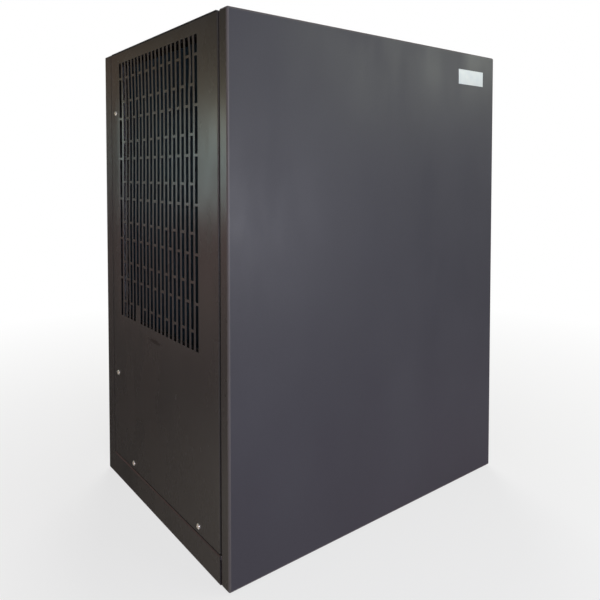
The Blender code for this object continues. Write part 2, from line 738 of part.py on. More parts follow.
def slot_cutter(name, x):
    """All slots of one side panel as one set of cutting boxes."""
    shape = bmesh.new()
    middle = (SIDE_FRONT + SIDE_REAR) / 2 + SLOT_FIELD_SHIFT
    rearmost = middle + (SLOT_COLUMNS - 1) / 2 * SLOT_COLUMN_PITCH
    reach = PANEL_SHEET + CUT_OVERRUN
    for column in range(1, SLOT_COLUMNS + 1):
        y = rearmost - (column - 1) * SLOT_COLUMN_PITCH
        for low, high in column_slots(column):
            add_box(shape, (-reach, y - SLOT_WIDTH / 2, low), (reach, y + SLOT_WIDTH / 2, high))
    return add_mesh(name, shape, (x, 0.0, 0.0), None)


def make_side_panels(finishes):
    """Slotted side panels: air inlet on the left, air outlet on the right."""
    bottom, top = PLINTH_HEIGHT + SIDE_SEAM, COVER_UNDERSIDE - SEAT
    for side, outer in (("left", -HALF_WIDTH), ("right", HALF_WIDTH)):
        inner = outer + SIDE_DEPTH if side == "left" else outer - SIDE_DEPTH
        panel = tray(
            f"side_panel_{side}", (min(outer, inner), SIDE_FRONT, bottom),
            (max(outer, inner), SIDE_REAR, top), (inner - outer, 0, 0), finishes["paint"],
        )
        subtract(panel, slot_cutter(f"slots_{side}", outer))


def make_top_cover(finishes):
    """Top cover with flanges folded down at the front and rear, notched at the side panels."""
    length = SIDE_REAR - SIDE_FRONT
    outline = folded(
        [(length, -COVER_FLANGE), (length, 0.0), (0.0, 0.0), (0.0, -COVER_FLANGE)],
        PANEL_SHEET, PANEL_BEND,
    )
    place = (-HALF_WIDTH, SIDE_FRONT, HEIGHT)
    cover = prism("top_cover", outline, WIDTH, place, "X", finishes["paint"])
    notch = PANEL_SHEET + PANEL_BEND + CUT_OVERRUN
    for side, hand in (("left", -1), ("right", 1)):
        near, far = FRAME_HALF * hand, (HALF_WIDTH + CUT_OVERRUN) * hand
        for end, edge, inward in (("front", SIDE_FRONT, 1), ("rear", SIDE_REAR, -1)):
            outside, inside = edge - CUT_OVERRUN * inward, edge + notch * inward
            low = (min(near, far), min(outside, inside), HEIGHT - 2 * COVER_FLANGE)
            high = (max(near, far), max(outside, inside), HEIGHT + CUT_OVERRUN)
            subtract(cover, block(f"cover_notch_{end}_{side}", low, high))


def make_rear_panel(finishes):
    """Rear panel wrapped round both rear corners, with the recessed connection plate."""
    panel = tray(
        "rear_panel", (-HALF_WIDTH, REAR - REAR_DEPTH, REAR_FOOT), (HALF_WIDTH, REAR, HEIGHT),
        (0, -1, 0), finishes["paint"],
    )
    low = (-RECESS_LEFT, REAR - PANEL_SHEET - CUT_OVERRUN, RECESS_BOTTOM)
    high = (RECESS_RIGHT, REAR + CUT_OVERRUN, RECESS_TOP)
    subtract(panel, block("rear_window", low, high))
    lap = Vector((RECESS_LAP, 0.0, RECESS_LAP))
    plate = tray(
        "connection_plate",
        Vector((-RECESS_LEFT, RECESS_FRONT, RECESS_BOTTOM)) - lap,
        Vector((RECESS_RIGHT, RECESS_FRONT + RECESS_DEPTH, RECESS_TOP)) + lap,
        (0, 1, 0), finishes["zinc"],
    )
    for name, spot in water_sockets().items():
        tool = hole(f"{name}_hole", SOCKET_RADIUS + SEAT, spot, "Y", PANEL_SHEET + PANEL_BEND)
        subtract(plate, tool)
    for index, spot in enumerate(gland_places()):
        tool = hole(f"gland_hole_{index}", GLAND_RADIUS + SEAT, spot, "Y", PANEL_SHEET + PANEL_BEND)
        subtract(plate, tool)
    spot = drain_outlet()
    tool = hole("drain_hole", SPOUT_RADIUS + HOLE_GAP, spot, "Y", PANEL_SHEET + CUT_OVERRUN)
    subtract(panel, tool)


def water_sockets():
    """Places of the water sockets on the connection plate's rear face."""
    y = RECESS_FRONT
    return {
        "water_flow_socket": Vector((WATER_FLOW_X, y, CONDENSER_Z + PORT_RISE)),
        "water_return_socket": Vector((PUMP_X, y, PUMP_Z)),
    }


def gland_places():
    """Places of the cable glands on the connection plate."""
    last = RECESS_RIGHT - GLAND_FROM_RIGHT
    z = RECESS_BOTTOM + GLAND_RISE
    return [Vector((last - index * GLAND_PITCH, RECESS_FRONT, z)) for index in range(GLANDS)]


def drain_outlet():
    """Where the condensate pipe passes the rear panel."""
    return Vector((COIL_MIDDLE, REAR, DECK_HEIGHT - DECK_FLANGE - 2 * COLD_LINE_BEND))


def make_connections(finishes):
    """Water sockets and cable glands in the connection plate; the return one reaches the pump."""
    inner = -SOCKET_FLANGE - SEAT
    end = inner + SOCKET_LENGTH
    socket = [
        (0.0, inner), (SOCKET_FLANGE_RADIUS, inner), (SOCKET_FLANGE_RADIUS, -SEAT),
        (SOCKET_RADIUS, -SEAT), (SOCKET_RADIUS, end), (SOCKET_BORE_RADIUS, end),
        (SOCKET_BORE_RADIUS, end - SOCKET_BORE_DEPTH), (0.0, end - SOCKET_BORE_DEPTH),
    ]
    tail_start = PUMP_Y + PUMP_SPAN / 2 + SEAT - RECESS_FRONT
    tails = {
        "water_flow_socket": [],
        "water_return_socket": [
            (0.0, tail_start), (WATER_LINE_RADIUS, tail_start), (WATER_LINE_RADIUS, inner),
        ],
    }
    for name, spot in water_sockets().items():
        profile = tails[name] + socket[1:] if tails[name] else socket
        turned(name, profile, spot, "Y", finishes["brass"], steps=ROUND_SIDES)
    outside = PANEL_SHEET + SEAT
    top = outside + GLAND_NUT
    gland = [
        (GLAND_BORE_RADIUS, -GLAND_NUT - SEAT), (GLAND_NUT_RADIUS, -GLAND_NUT - SEAT),
        (GLAND_NUT_RADIUS, -SEAT), (GLAND_RADIUS, -SEAT), (GLAND_RADIUS, outside),
        (GLAND_NUT_RADIUS, outside), (GLAND_NUT_RADIUS, top),
        ((GLAND_RADIUS + GLAND_BORE_RADIUS) / 2, top + GLAND_CAP), (GLAND_BORE_RADIUS, top + GLAND_CAP),
    ]
    for name, spot in zip(("power_gland", "signal_gland"), gland_places()):
        turned(name, gland, spot, "Y", finishes["plastic"], steps=ROUND_SIDES, closed=True)


def make_deck(finishes):
    """Deck between the machine room and the air chamber, with its pipe holes."""
    deck = tray(
        "partition_deck", (-INNER_HALF, INNER_FRONT, DECK_HEIGHT - DECK_FLANGE),
        (INNER_HALF, INNER_REAR, DECK_HEIGHT), (0, 0, -1), finishes["zinc"],
    )
    spots = {
        "gas_riser": (gas_riser_x(), COLD_LINE_RADIUS),
        "liquid_riser": (liquid_riser_x(), LINE_RADIUS),
    }
    for name, (x, radius) in spots.items():
        tool = hole(f"{name}_hole", radius + HOLE_GAP, (x, HEADER_Y, DECK_HEIGHT), "Z", DECK_FLANGE)
        subtract(deck, tool)
    spot = (COIL_MIDDLE, FRAME_REAR - SPOUT_FROM_REAR, DECK_HEIGHT)
    subtract(deck, hole("spout_hole", SPOUT_RADIUS + HOLE_GAP, spot, "Z", DECK_FLANGE))


def gas_riser_x():
    return PAN_RIGHT + GAS_RISER_FROM_PAN


def liquid_riser_x():
    return PAN_RIGHT + LIQUID_RISER_FROM_PAN


def make_drain_pan(finishes):
    """Condensate pan under the evaporator with its spout through the deck."""
    pan = tray(
        "drain_pan", (PAN_LEFT, INNER_FRONT + PAN_MARGIN, PAN_FLOOR),
        (PAN_RIGHT, INNER_REAR - PAN_MARGIN, PAN_FLOOR + PAN_HEIGHT), (0, 0, 1), finishes["zinc"],
    )
    spot = (COIL_MIDDLE, FRAME_REAR - SPOUT_FROM_REAR, PAN_FLOOR)
    wall = [(0.0, -SPOUT_DROP), (SPOUT_RADIUS, -SPOUT_DROP), (SPOUT_RADIUS, PANEL_SHEET / 2),
            (0.0, PANEL_SHEET / 2)]
    unite(pan, turned("spout_wall", wall, spot, "Z", steps=ROUND_SIDES))
    bore = SPOUT_RADIUS - SPOUT_WALL
    reach = [(0.0, -SPOUT_DROP - CUT_OVERRUN), (bore, -SPOUT_DROP - CUT_OVERRUN),
             (bore, PANEL_SHEET + CUT_OVERRUN), (0.0, PANEL_SHEET + CUT_OVERRUN)]
    subtract(pan, turned("spout_bore", reach, spot, "Z", steps=ROUND_SIDES))


def circuit_heights():
    """Heights of the evaporator's circuits."""
    pitch = (COIL_TOP - COIL_BOTTOM) / CIRCUITS
    return [COIL_BOTTOM + (index + 0.5) * pitch for index in range(CIRCUITS)]


def make_evaporator(finishes):
    """Fin pack, end plates with the return bends, and the two headers."""
    length = COIL_REAR - COIL_FRONT
    fins = int(length // FIN_PITCH)
    margin = (length - (fins - 1) * FIN_PITCH - FIN_THICKNESS) / 2
    near, far = [], []
    for index in range(fins):
        start = margin + index * FIN_PITCH
        end = start + FIN_THICKNESS
        root, crest = FIN_DEPTH, 0.0
        near += [(root, start), (crest, start), (crest, end), (root, end)]
        root, crest = COIL_THICKNESS - FIN_DEPTH, COIL_THICKNESS
        far += [(root, start), (crest, start), (crest, end), (root, end)]
    ends = [(COIL_THICKNESS - FIN_DEPTH, 0.0), (FIN_DEPTH, 0.0)]
    tips = [(FIN_DEPTH, length), (COIL_THICKNESS - FIN_DEPTH, length)]
    outline = ends[1:] + near + tips + far[::-1] + ends[:1]
    place = (COIL_LEFT, COIL_FRONT, COIL_BOTTOM)
    prism("evaporator_fins", outline, COIL_TOP - COIL_BOTTOM, place, "Z", finishes["fin"])

    foot = PAN_FLOOR + PANEL_SHEET + SEAT
    plates = {}
    for end, y in (("front", COIL_FRONT - SEAT - END_PLATE), ("rear", COIL_REAR + SEAT)):
        plates[end] = block(
            f"evaporator_end_plate_{end}", (COIL_LEFT, y, foot),
            (COIL_LEFT + COIL_THICKNESS, y + END_PLATE, COIL_TOP + END_PLATE_RISE), finishes["zinc"],
        )
    bends = bmesh.new()
    half = TUBE_ROW_SPACING / 2
    face = COIL_FRONT - SEAT - END_PLATE
    for z in circuit_heights():
        route = [Vector((COIL_MIDDLE - half, face + END_PLATE / 2, z))]
        for step in range(7):
            angle = pi * step / 6
            route.append(Vector((
                COIL_MIDDLE - half * cos(angle), face - BEND_REACH - half * sin(angle), z,
            )))
        route.append(Vector((COIL_MIDDLE + half, face + END_PLATE / 2, z)))
        add_tube(bends, route, TUBE_RADIUS, Vector((0, 0, 1)))
    unite(plates["front"], add_mesh("return_bends", bends, (0, 0, 0), None))

    headers = (
        ("gas", GAS_TUBE_X, GAS_HEADER_LIFT), ("liquid", LIQUID_TUBE_X, LIQUID_HEADER_LIFT),
    )
    for kind, x, lift in headers:
        heights = circuit_heights()
        low, high = heights[0] - lift, heights[-1] + HEADER_OVER
        dome = HEADER_RADIUS / 2
        profile = [(0.0, low), (dome, low), (HEADER_RADIUS, low + dome), (HEADER_RADIUS, high - dome),
                   (dome, high), (0.0, high)]
        header = turned(f"evaporator_{kind}_header", profile, (x, HEADER_Y, 0.0), "Z",
                        finishes["copper"], steps=ROUND_SIDES)
        stubs = bmesh.new()
        plate_face = COIL_REAR + SEAT + END_PLATE + SEAT
        for z in heights:
            route = [Vector((x, plate_face, z)), Vector((x, HEADER_Y, z))]
            add_tube(stubs, route, TUBE_RADIUS, Vector((0, 0, 1)))
        unite(header, add_mesh(f"{kind}_stubs", stubs, (0, 0, 0), None))


def fan_point(axial, radius, angle):
    """Point in the fan's frame, whose axis runs along X."""
    return Vector((axial, radius * sin(angle), radius * cos(angle)))


def make_blade(index):
    """One swept and twisted blade as a thin closed shell."""
    shape = bmesh.new()
    spans, chords = 5, 4
    root = HUB_RADIUS - BLADE_ROOT_BITE
    grid = []
    for row in range(spans):
        share = row / (spans - 1)
        radius = root + (FAN_RADIUS - root) * share
        chord = BLADE_ROOT_CHORD + (BLADE_TIP_CHORD - BLADE_ROOT_CHORD) * share
        pitch = radians(BLADE_ROOT_PITCH + (BLADE_TIP_PITCH - BLADE_ROOT_PITCH) * share)
        base = 2 * pi * index / BLADES + radians(BLADE_SWEEP) * share
        line = []
        for column in range(chords + 1):
            along = column / chords - 0.5
            lift = BLADE_CAMBER_SHARE * chord * (1 - 4 * along * along)
            around = along * chord * cos(pitch) - lift * sin(pitch)
            axial = along * chord * sin(pitch) + lift * cos(pitch)
            line.append(shape.verts.new(fan_point(axial, radius, base + around / radius)))
        grid.append(line)
    for first, second in zip(grid, grid[1:]):
        for column in range(chords):
            shape.faces.new((first[column], first[column + 1], second[column + 1], second[column]))
    blade = add_mesh(f"blade_{index}", shape, fan_centre(), None)
    skin = blade.modifiers.new("thickness", "SOLIDIFY")
    skin.thickness = BLADE_THICKNESS
    skin.offset = 0.0
    return blade


def fan_centre():
    """Middle of the hub on the fan's axis."""
    return Vector((HUB_START + HUB_DEPTH / 2, FAN_Y, FAN_Z))


def make_fan(finishes):
    """Fan plate, orifice ring, motor on its cross bar, and the impeller with its shaft."""
    plate = tray(
        "fan_plate", (FAN_PLATE_X, INNER_FRONT, DECK_HEIGHT + SEAT),
        (FAN_PLATE_X + FAN_PLATE_FLANGE, INNER_REAR, RAIL_BOTTOM - SEAT), (1, 0, 0), finishes["zinc"],
    )
    cut = CUT_OVERRUN + PANEL_SHEET
    mouth = [(0.0, -cut), (MOUTH_RADIUS, -cut), (MOUTH_RADIUS, cut), (0.0, cut)]
    subtract(plate, turned("fan_mouth", mouth, (FAN_PLATE_X, FAN_Y, FAN_Z), "X", steps=RING_STEPS))

    lip = MOUTH_RADIUS + RING_LIP
    outside = [(MOUTH_RADIUS, RING_SHEET)]
    inside = [(MOUTH_RADIUS, 0.0)]
    for angle in (30.0, 60.0, 90.0):
        spoke = radians(angle)
        turn = RING_MOUTH
        inside.append((MOUTH_RADIUS - turn * sin(spoke), turn * (1 - cos(spoke))))
        turn = RING_MOUTH - RING_SHEET
        outside.append((MOUTH_RADIUS - turn * sin(spoke), RING_SHEET + turn * (1 - cos(spoke))))
    end_lip = RING_RADIUS + RING_LIP
    ring = [(lip, 0.0)] + inside + [(RING_RADIUS, RING_LENGTH), (end_lip, RING_LENGTH),
           (end_lip, RING_LENGTH - RING_SHEET), (RING_RADIUS + RING_SHEET, RING_LENGTH - RING_SHEET)]
    ring += outside[::-1] + [(lip, RING_SHEET)]
    turned("fan_ring", ring, (RING_START, FAN_Y, FAN_Z), "X", finishes["plastic"],
           steps=RING_STEPS, closed=True)

    bar = folded(
        [(-BAR_WIDTH / 2, BAR_DEPTH), (-BAR_WIDTH / 2, 0.0), (BAR_WIDTH / 2, 0.0),
         (BAR_WIDTH / 2, BAR_DEPTH)],
        FRAME_SHEET, FRAME_BEND,
    )
    outline = [(depth, width) for width, depth in bar]
    place = (BAR_START, FAN_Y, FAN_Z - end_lip)
    prism("fan_motor_bar", outline, 2 * end_lip, place, "Z", finishes["zinc"])

    motor_end = RING_END
    bore = SHAFT_RADIUS + SEAT
    body = motor_end - MOTOR_START
    motor = [
        (0.0, SHAFT_BITE), (bore, SHAFT_BITE), (bore, 0.0), (MOTOR_NECK_RADIUS, 0.0),
        (MOTOR_NECK_RADIUS, MOTOR_NECK_DEPTH), (MOTOR_RADIUS, MOTOR_NECK_DEPTH * 2),
        (MOTOR_RADIUS, body - MOTOR_NECK_DEPTH), (MOTOR_RADIUS - MOTOR_NECK_DEPTH, body), (0.0, body),
    ]
    turned("fan_motor", motor, (MOTOR_START, FAN_Y, FAN_Z), "X", finishes["motor"])

    half = HUB_DEPTH / 2
    nose = HUB_RADIUS - HUB_WALL
    inner = half - HUB_WALL
    boss = SHAFT_RADIUS + HUB_WALL
    shaft_end = MOTOR_START + SHAFT_BITE - SEAT - fan_centre().x
    hub = [
        (0.0, -half), (nose, -half), (HUB_RADIUS, -half + HUB_WALL), (HUB_RADIUS, half),
        (nose, half), (nose, -inner), (boss, -inner), (boss, half), (SHAFT_RADIUS, half),
        (SHAFT_RADIUS, shaft_end), (0.0, shaft_end),
    ]
    impeller = turned("fan_impeller", hub, fan_centre(), "X", finishes["plastic"], steps=25)
    for index in range(BLADES):
        unite(impeller, make_blade(index))


def vessel(name, radius, bottom, height, place, finish, neck=0.0):
    """Upright pressure vessel with rounded ends and an optional top neck."""
    dome = min(VESSEL_DOME, height / 3)
    lower = [(radius * out, dome * up) for out, up in VESSEL_DOME_SHARES]
    upper = [(out, height - up) for out, up in lower[::-1]]
    profile = [(0.0, 0.0)] + lower + [(radius, dome), (radius, height - dome)] + upper
    if neck > 0.0:
        tip = height + neck
        profile += [(VESSEL_NECK_RADIUS, height), (VESSEL_NECK_RADIUS, tip), (0.0, tip)]
    else:
        profile += [(0.0, height)]
    return turned(name, profile, (place[0], place[1], bottom), "Z", finish, steps=20)


def foot_spots():
    """Centres of the compressor's feet."""
    reach = FOOT_REACH - FOOT_END_RADIUS
    spots = []
    for index in range(FEET):
        angle = 2 * pi * index / FEET + pi / 2
        spots.append(Vector((COMPRESSOR_X + reach * cos(angle), COMPRESSOR_Y + reach * sin(angle), 0.0)))
    return spots


def make_compressor(finishes):
    """Upright hermetic compressor on a three-footed plate and rubber grommets."""
    top = COMPRESSOR_HEIGHT
    seam = COMPRESSOR_RADIUS + COMPRESSOR_SEAM
    dome = top - COMPRESSOR_DOME
    low_seam, high_seam = FOOT_PLATE + COMPRESSOR_SEAM_HEIGHT, dome - COMPRESSOR_SEAM_HEIGHT
    shoulder = (COMPRESSOR_RADIUS + COMPRESSOR_TOP_RADIUS) / 2
    profile = [
        (0.0, FOOT_PLATE / 2), (COMPRESSOR_RADIUS, FOOT_PLATE / 2), (seam, low_seam),
        (seam, low_seam + COMPRESSOR_SEAM_HEIGHT),
        (COMPRESSOR_RADIUS, low_seam + COMPRESSOR_SEAM_HEIGHT + COMPRESSOR_SEAM),
        (COMPRESSOR_RADIUS, high_seam - COMPRESSOR_SEAM_HEIGHT - COMPRESSOR_SEAM),
        (seam, high_seam - COMPRESSOR_SEAM_HEIGHT), (seam, high_seam), (COMPRESSOR_RADIUS, dome),
        (shoulder, top - COMPRESSOR_DOME / 4), (COMPRESSOR_TOP_RADIUS, top), (0.0, top),
    ]
    centre = Vector((COMPRESSOR_X, COMPRESSOR_Y, COMPRESSOR_BOTTOM))
    shell = turned("compressor", profile, centre, "Z", finishes["black"])
    outline = []
    for index, spot in enumerate(foot_spots()):
        middle = 2 * pi * index / FEET + pi / 2
        for step in range(-2, 3):
            angle = middle + step * pi / 5
            outline.append((
                spot.x - COMPRESSOR_X + FOOT_END_RADIUS * cos(angle),
                spot.y - COMPRESSOR_Y + FOOT_END_RADIUS * sin(angle),
            ))
    unite(shell, prism("compressor_feet", outline, FOOT_PLATE, centre, "Z"))
    stub = centre + Vector((-DISCHARGE_OFFSET, 0.0, top - DISCHARGE_STUB))
    tube = [(0.0, 0.0), (HOT_LINE_RADIUS, 0.0), (HOT_LINE_RADIUS, 2 * DISCHARGE_STUB),
            (0.0, 2 * DISCHARGE_STUB)]
    unite(shell, turned("discharge_stub", tube, stub, "Z", steps=ROUND_SIDES))

    waist = GROMMET_WAIST_RADIUS
    grommet = [
        (0.0, 0.0), (GROMMET_RADIUS, 0.0), (GROMMET_RADIUS, GROMMET_HEIGHT / 4),
        (waist, GROMMET_HEIGHT / 2), (GROMMET_RADIUS, GROMMET_HEIGHT * 3 / 4),
        (GROMMET_RADIUS, GROMMET_HEIGHT), (0.0, GROMMET_HEIGHT),
    ]
    for index, spot in enumerate(foot_spots()):
        place = (spot.x, spot.y, STAND)
        name = f"compressor_grommet_{index + 1}"
        turned(name, grommet, place, "Z", finishes["rubber"], steps=ROUND_SIDES)

    low = Vector((COMPRESSOR_X + TERMINAL_OFFSET - TERMINAL_LENGTH / 2,
                  COMPRESSOR_Y - TERMINAL_WIDTH / 2, COMPRESSOR_TOP + SEAT))
    size = Vector((TERMINAL_LENGTH, TERMINAL_WIDTH, TERMINAL_HEIGHT))
    cap = block("terminal_cover", low, low + size, finishes["plastic"])
    edges = cap.modifiers.new("rounded_edges", "BEVEL")
    edges.width = TERMINAL_EDGE
    edges.segments = 2


def make_accumulator(finishes):
    """Suction accumulator beside the compressor and the elbow that joins them."""
    vessel("suction_accumulator", ACCUMULATOR_RADIUS, ACCUMULATOR_BOTTOM, ACCUMULATOR_HEIGHT,
           (ACCUMULATOR_X, COMPRESSOR_Y), finishes["black"], neck=VESSEL_NECK)
    low = ACCUMULATOR_BOTTOM - ELBOW_DROP
    end = COMPRESSOR_X - COMPRESSOR_RADIUS - COMPRESSOR_SEAM - SEAT
    pipe("compressor_inlet_elbow",
         [(ACCUMULATOR_X, COMPRESSOR_Y, ACCUMULATOR_BOTTOM - SEAT), (ACCUMULATOR_X, COMPRESSOR_Y, low),
          (end, COMPRESSOR_Y, low)],
         COLD_LINE_RADIUS, COLD_LINE_BEND / 2, finishes["copper"])


def make_valve(finishes):
    """Four-way reversing valve with one port above and three below, the middle one on the accumulator."""
    half = VALVE_LENGTH / 2
    step = half - VALVE_CAP
    profile = [
        (0.0, -half), (VALVE_CAP_RADIUS, -half), (VALVE_RADIUS, -step), (VALVE_RADIUS, step),
        (VALVE_CAP_RADIUS, half), (0.0, half),
    ]
    centre = Vector((ACCUMULATOR_X, COMPRESSOR_Y, VALVE_Z))
    body = turned("four_way_valve", profile, centre, "X", finishes["brass"], steps=16)
    stub = VALVE_RADIUS + VALVE_STUB
    suction = VALVE_Z - ACCUMULATOR_TOP - VESSEL_NECK - SEAT
    ports = (
        ("top", 0.0, HOT_LINE_RADIUS, stub), ("hot", -VALVE_PORT_PITCH, HOT_LINE_RADIUS, -stub),
        ("suction", 0.0, COLD_LINE_RADIUS, -suction), ("cold", VALVE_PORT_PITCH, COLD_LINE_RADIUS, -stub),
    )
    for name, shift, radius, reach in ports:
        tube = [(0.0, 0.0), (radius, 0.0), (radius, reach), (0.0, reach)]
        spot = centre + Vector((shift, 0.0, 0.0))
        unite(body, turned(f"valve_{name}_port", tube, spot, "Z", steps=ROUND_SIDES))


def make_condenser(finishes):
    """Brazed plate condenser: a grooved plate pack with four ports on one end."""
    half = CONDENSER_WIDTH / 2
    core = CONDENSER_THICKNESS - 2 * CONDENSER_END
    pitch = core / CONDENSER_PLATES
    side = [(0.0, half), (CONDENSER_END, half)]
    for index in range(CONDENSER_PLATES):
        start = CONDENSER_END + index * pitch
        side += [(start + pitch / 3, half - CONDENSER_GROOVE), (start + pitch * 2 / 3, half)]
    side += [(CONDENSER_THICKNESS, half)]
    outline = side + [(x, -y) for x, y in side[::-1]]
    place = (CONDENSER_LEFT, CONDENSER_Y, STAND)
    pack = prism("plate_condenser", outline, CONDENSER_LENGTH, place, "Z", finishes["steel"])
    for name, spread, rise, radius in condenser_ports():
        tube = [(0.0, -CONDENSER_END / 2), (radius, -CONDENSER_END / 2), (radius, PORT_STUB),
                (0.0, PORT_STUB)]
        spot = (CONDENSER_RIGHT, CONDENSER_Y + spread, CONDENSER_Z + rise)
        unite(pack, turned(f"condenser_{name}_port", tube, spot, "X", steps=ROUND_SIDES))


def condenser_ports():
    """Name, offset across, offset up and radius of each condenser port."""
    return (
        ("gas", PORT_SPREAD, PORT_RISE, GAS_PORT_RADIUS),
        ("liquid", PORT_SPREAD, -PORT_RISE, GAS_PORT_RADIUS),
        ("water_flow", -PORT_SPREAD, PORT_RISE, WATER_PORT_RADIUS),
        ("water_return", -PORT_SPREAD, -PORT_RISE, WATER_PORT_RADIUS),
    )


def make_liquid_line_parts(finishes):
    """Liquid receiver, filter drier and electronic expansion valve."""
    place = Vector((RECEIVER_X, RECEIVER_Y, STAND))
    receiver = vessel("liquid_receiver", RECEIVER_RADIUS, STAND, RECEIVER_HEIGHT,
                      (RECEIVER_X, RECEIVER_Y), finishes["receiver"])
    reach = VESSEL_DOME + VESSEL_NECK
    for name, shift in (("inlet", -RECEIVER_PORT_SPREAD), ("outlet", RECEIVER_PORT_SPREAD)):
        tube = [(0.0, 0.0), (HOT_LINE_RADIUS, 0.0), (HOT_LINE_RADIUS, reach), (0.0, reach)]
        spot = place + Vector((shift, 0.0, RECEIVER_HEIGHT - VESSEL_DOME))
        unite(receiver, turned(f"receiver_{name}", tube, spot, "Z", steps=ROUND_SIDES))

    top = DRIER_HEIGHT
    drier = [
        (0.0, 0.0), (HOT_LINE_RADIUS, 0.0), (DRIER_RADIUS, DRIER_CONE), (DRIER_RADIUS, top - DRIER_CONE),
        (HOT_LINE_RADIUS, top), (0.0, top),
    ]
    turned("filter_drier", drier, (DRIER_X, RECEIVER_Y, DRIER_BOTTOM), "Z", finishes["copper"], steps=16)

    coil_top = EXPANSION_BODY + EXPANSION_COIL_HEIGHT
    body = [
        (0.0, 0.0), (HOT_LINE_RADIUS, 0.0), (EXPANSION_RADIUS, HOT_LINE_RADIUS),
        (EXPANSION_RADIUS, EXPANSION_BODY), (EXPANSION_COIL_RADIUS, EXPANSION_BODY),
        (EXPANSION_COIL_RADIUS, coil_top), (EXPANSION_RADIUS, coil_top + HOT_LINE_RADIUS),
        (0.0, coil_top + HOT_LINE_RADIUS),
    ]
    place = Vector((DRIER_X, EXPANSION_Y, DRIER_BOTTOM))
    valve = turned("expansion_valve", body, place, "Z", finishes["brass"], steps=16)
    stub = EXPANSION_RADIUS + EXPANSION_SIDE_STUB
    tube = [(0.0, 0.0), (HOT_LINE_RADIUS, 0.0), (HOT_LINE_RADIUS, -stub), (0.0, -stub)]
    spot = (DRIER_X, EXPANSION_Y, EXPANSION_SIDE_Z)
    unite(valve, turned("expansion_outlet", tube, spot, "X", steps=ROUND_SIDES))


def make_pump(finishes):
    """Circulation pump: volute across the flow line with its motor on the left."""
    half = PUMP_SPAN / 2
    centre = Vector((PUMP_X, PUMP_Y, PUMP_Z))
    neck = half - PUMP_PORT_LENGTH
    inner = neck - PUMP_PORT_LENGTH
    line = [
        (0.0, -half), (PUMP_PORT_RADIUS, -half), (PUMP_PORT_RADIUS, -neck), (WATER_PORT_RADIUS, -inner),
        (WATER_PORT_RADIUS, inner), (PUMP_PORT_RADIUS, neck), (PUMP_PORT_RADIUS, half), (0.0, half),
    ]
    pump = turned("circulation_pump", line, centre, "Y", finishes["pump"], steps=16)
    wide = PUMP_VOLUTE_WIDTH / 2
    back = -wide - PUMP_MOTOR_LENGTH
    edge = wide / 4
    body = [
        (0.0, wide), (PUMP_VOLUTE_RADIUS - edge, wide), (PUMP_VOLUTE_RADIUS, wide - edge),
        (PUMP_VOLUTE_RADIUS, edge - wide), (PUMP_MOTOR_RADIUS, -wide), (PUMP_MOTOR_RADIUS, back + edge),
        (PUMP_MOTOR_RADIUS - edge, back), (0.0, back),
    ]
    unite(pump, turned("pump_body", body, centre, "X", steps=20))


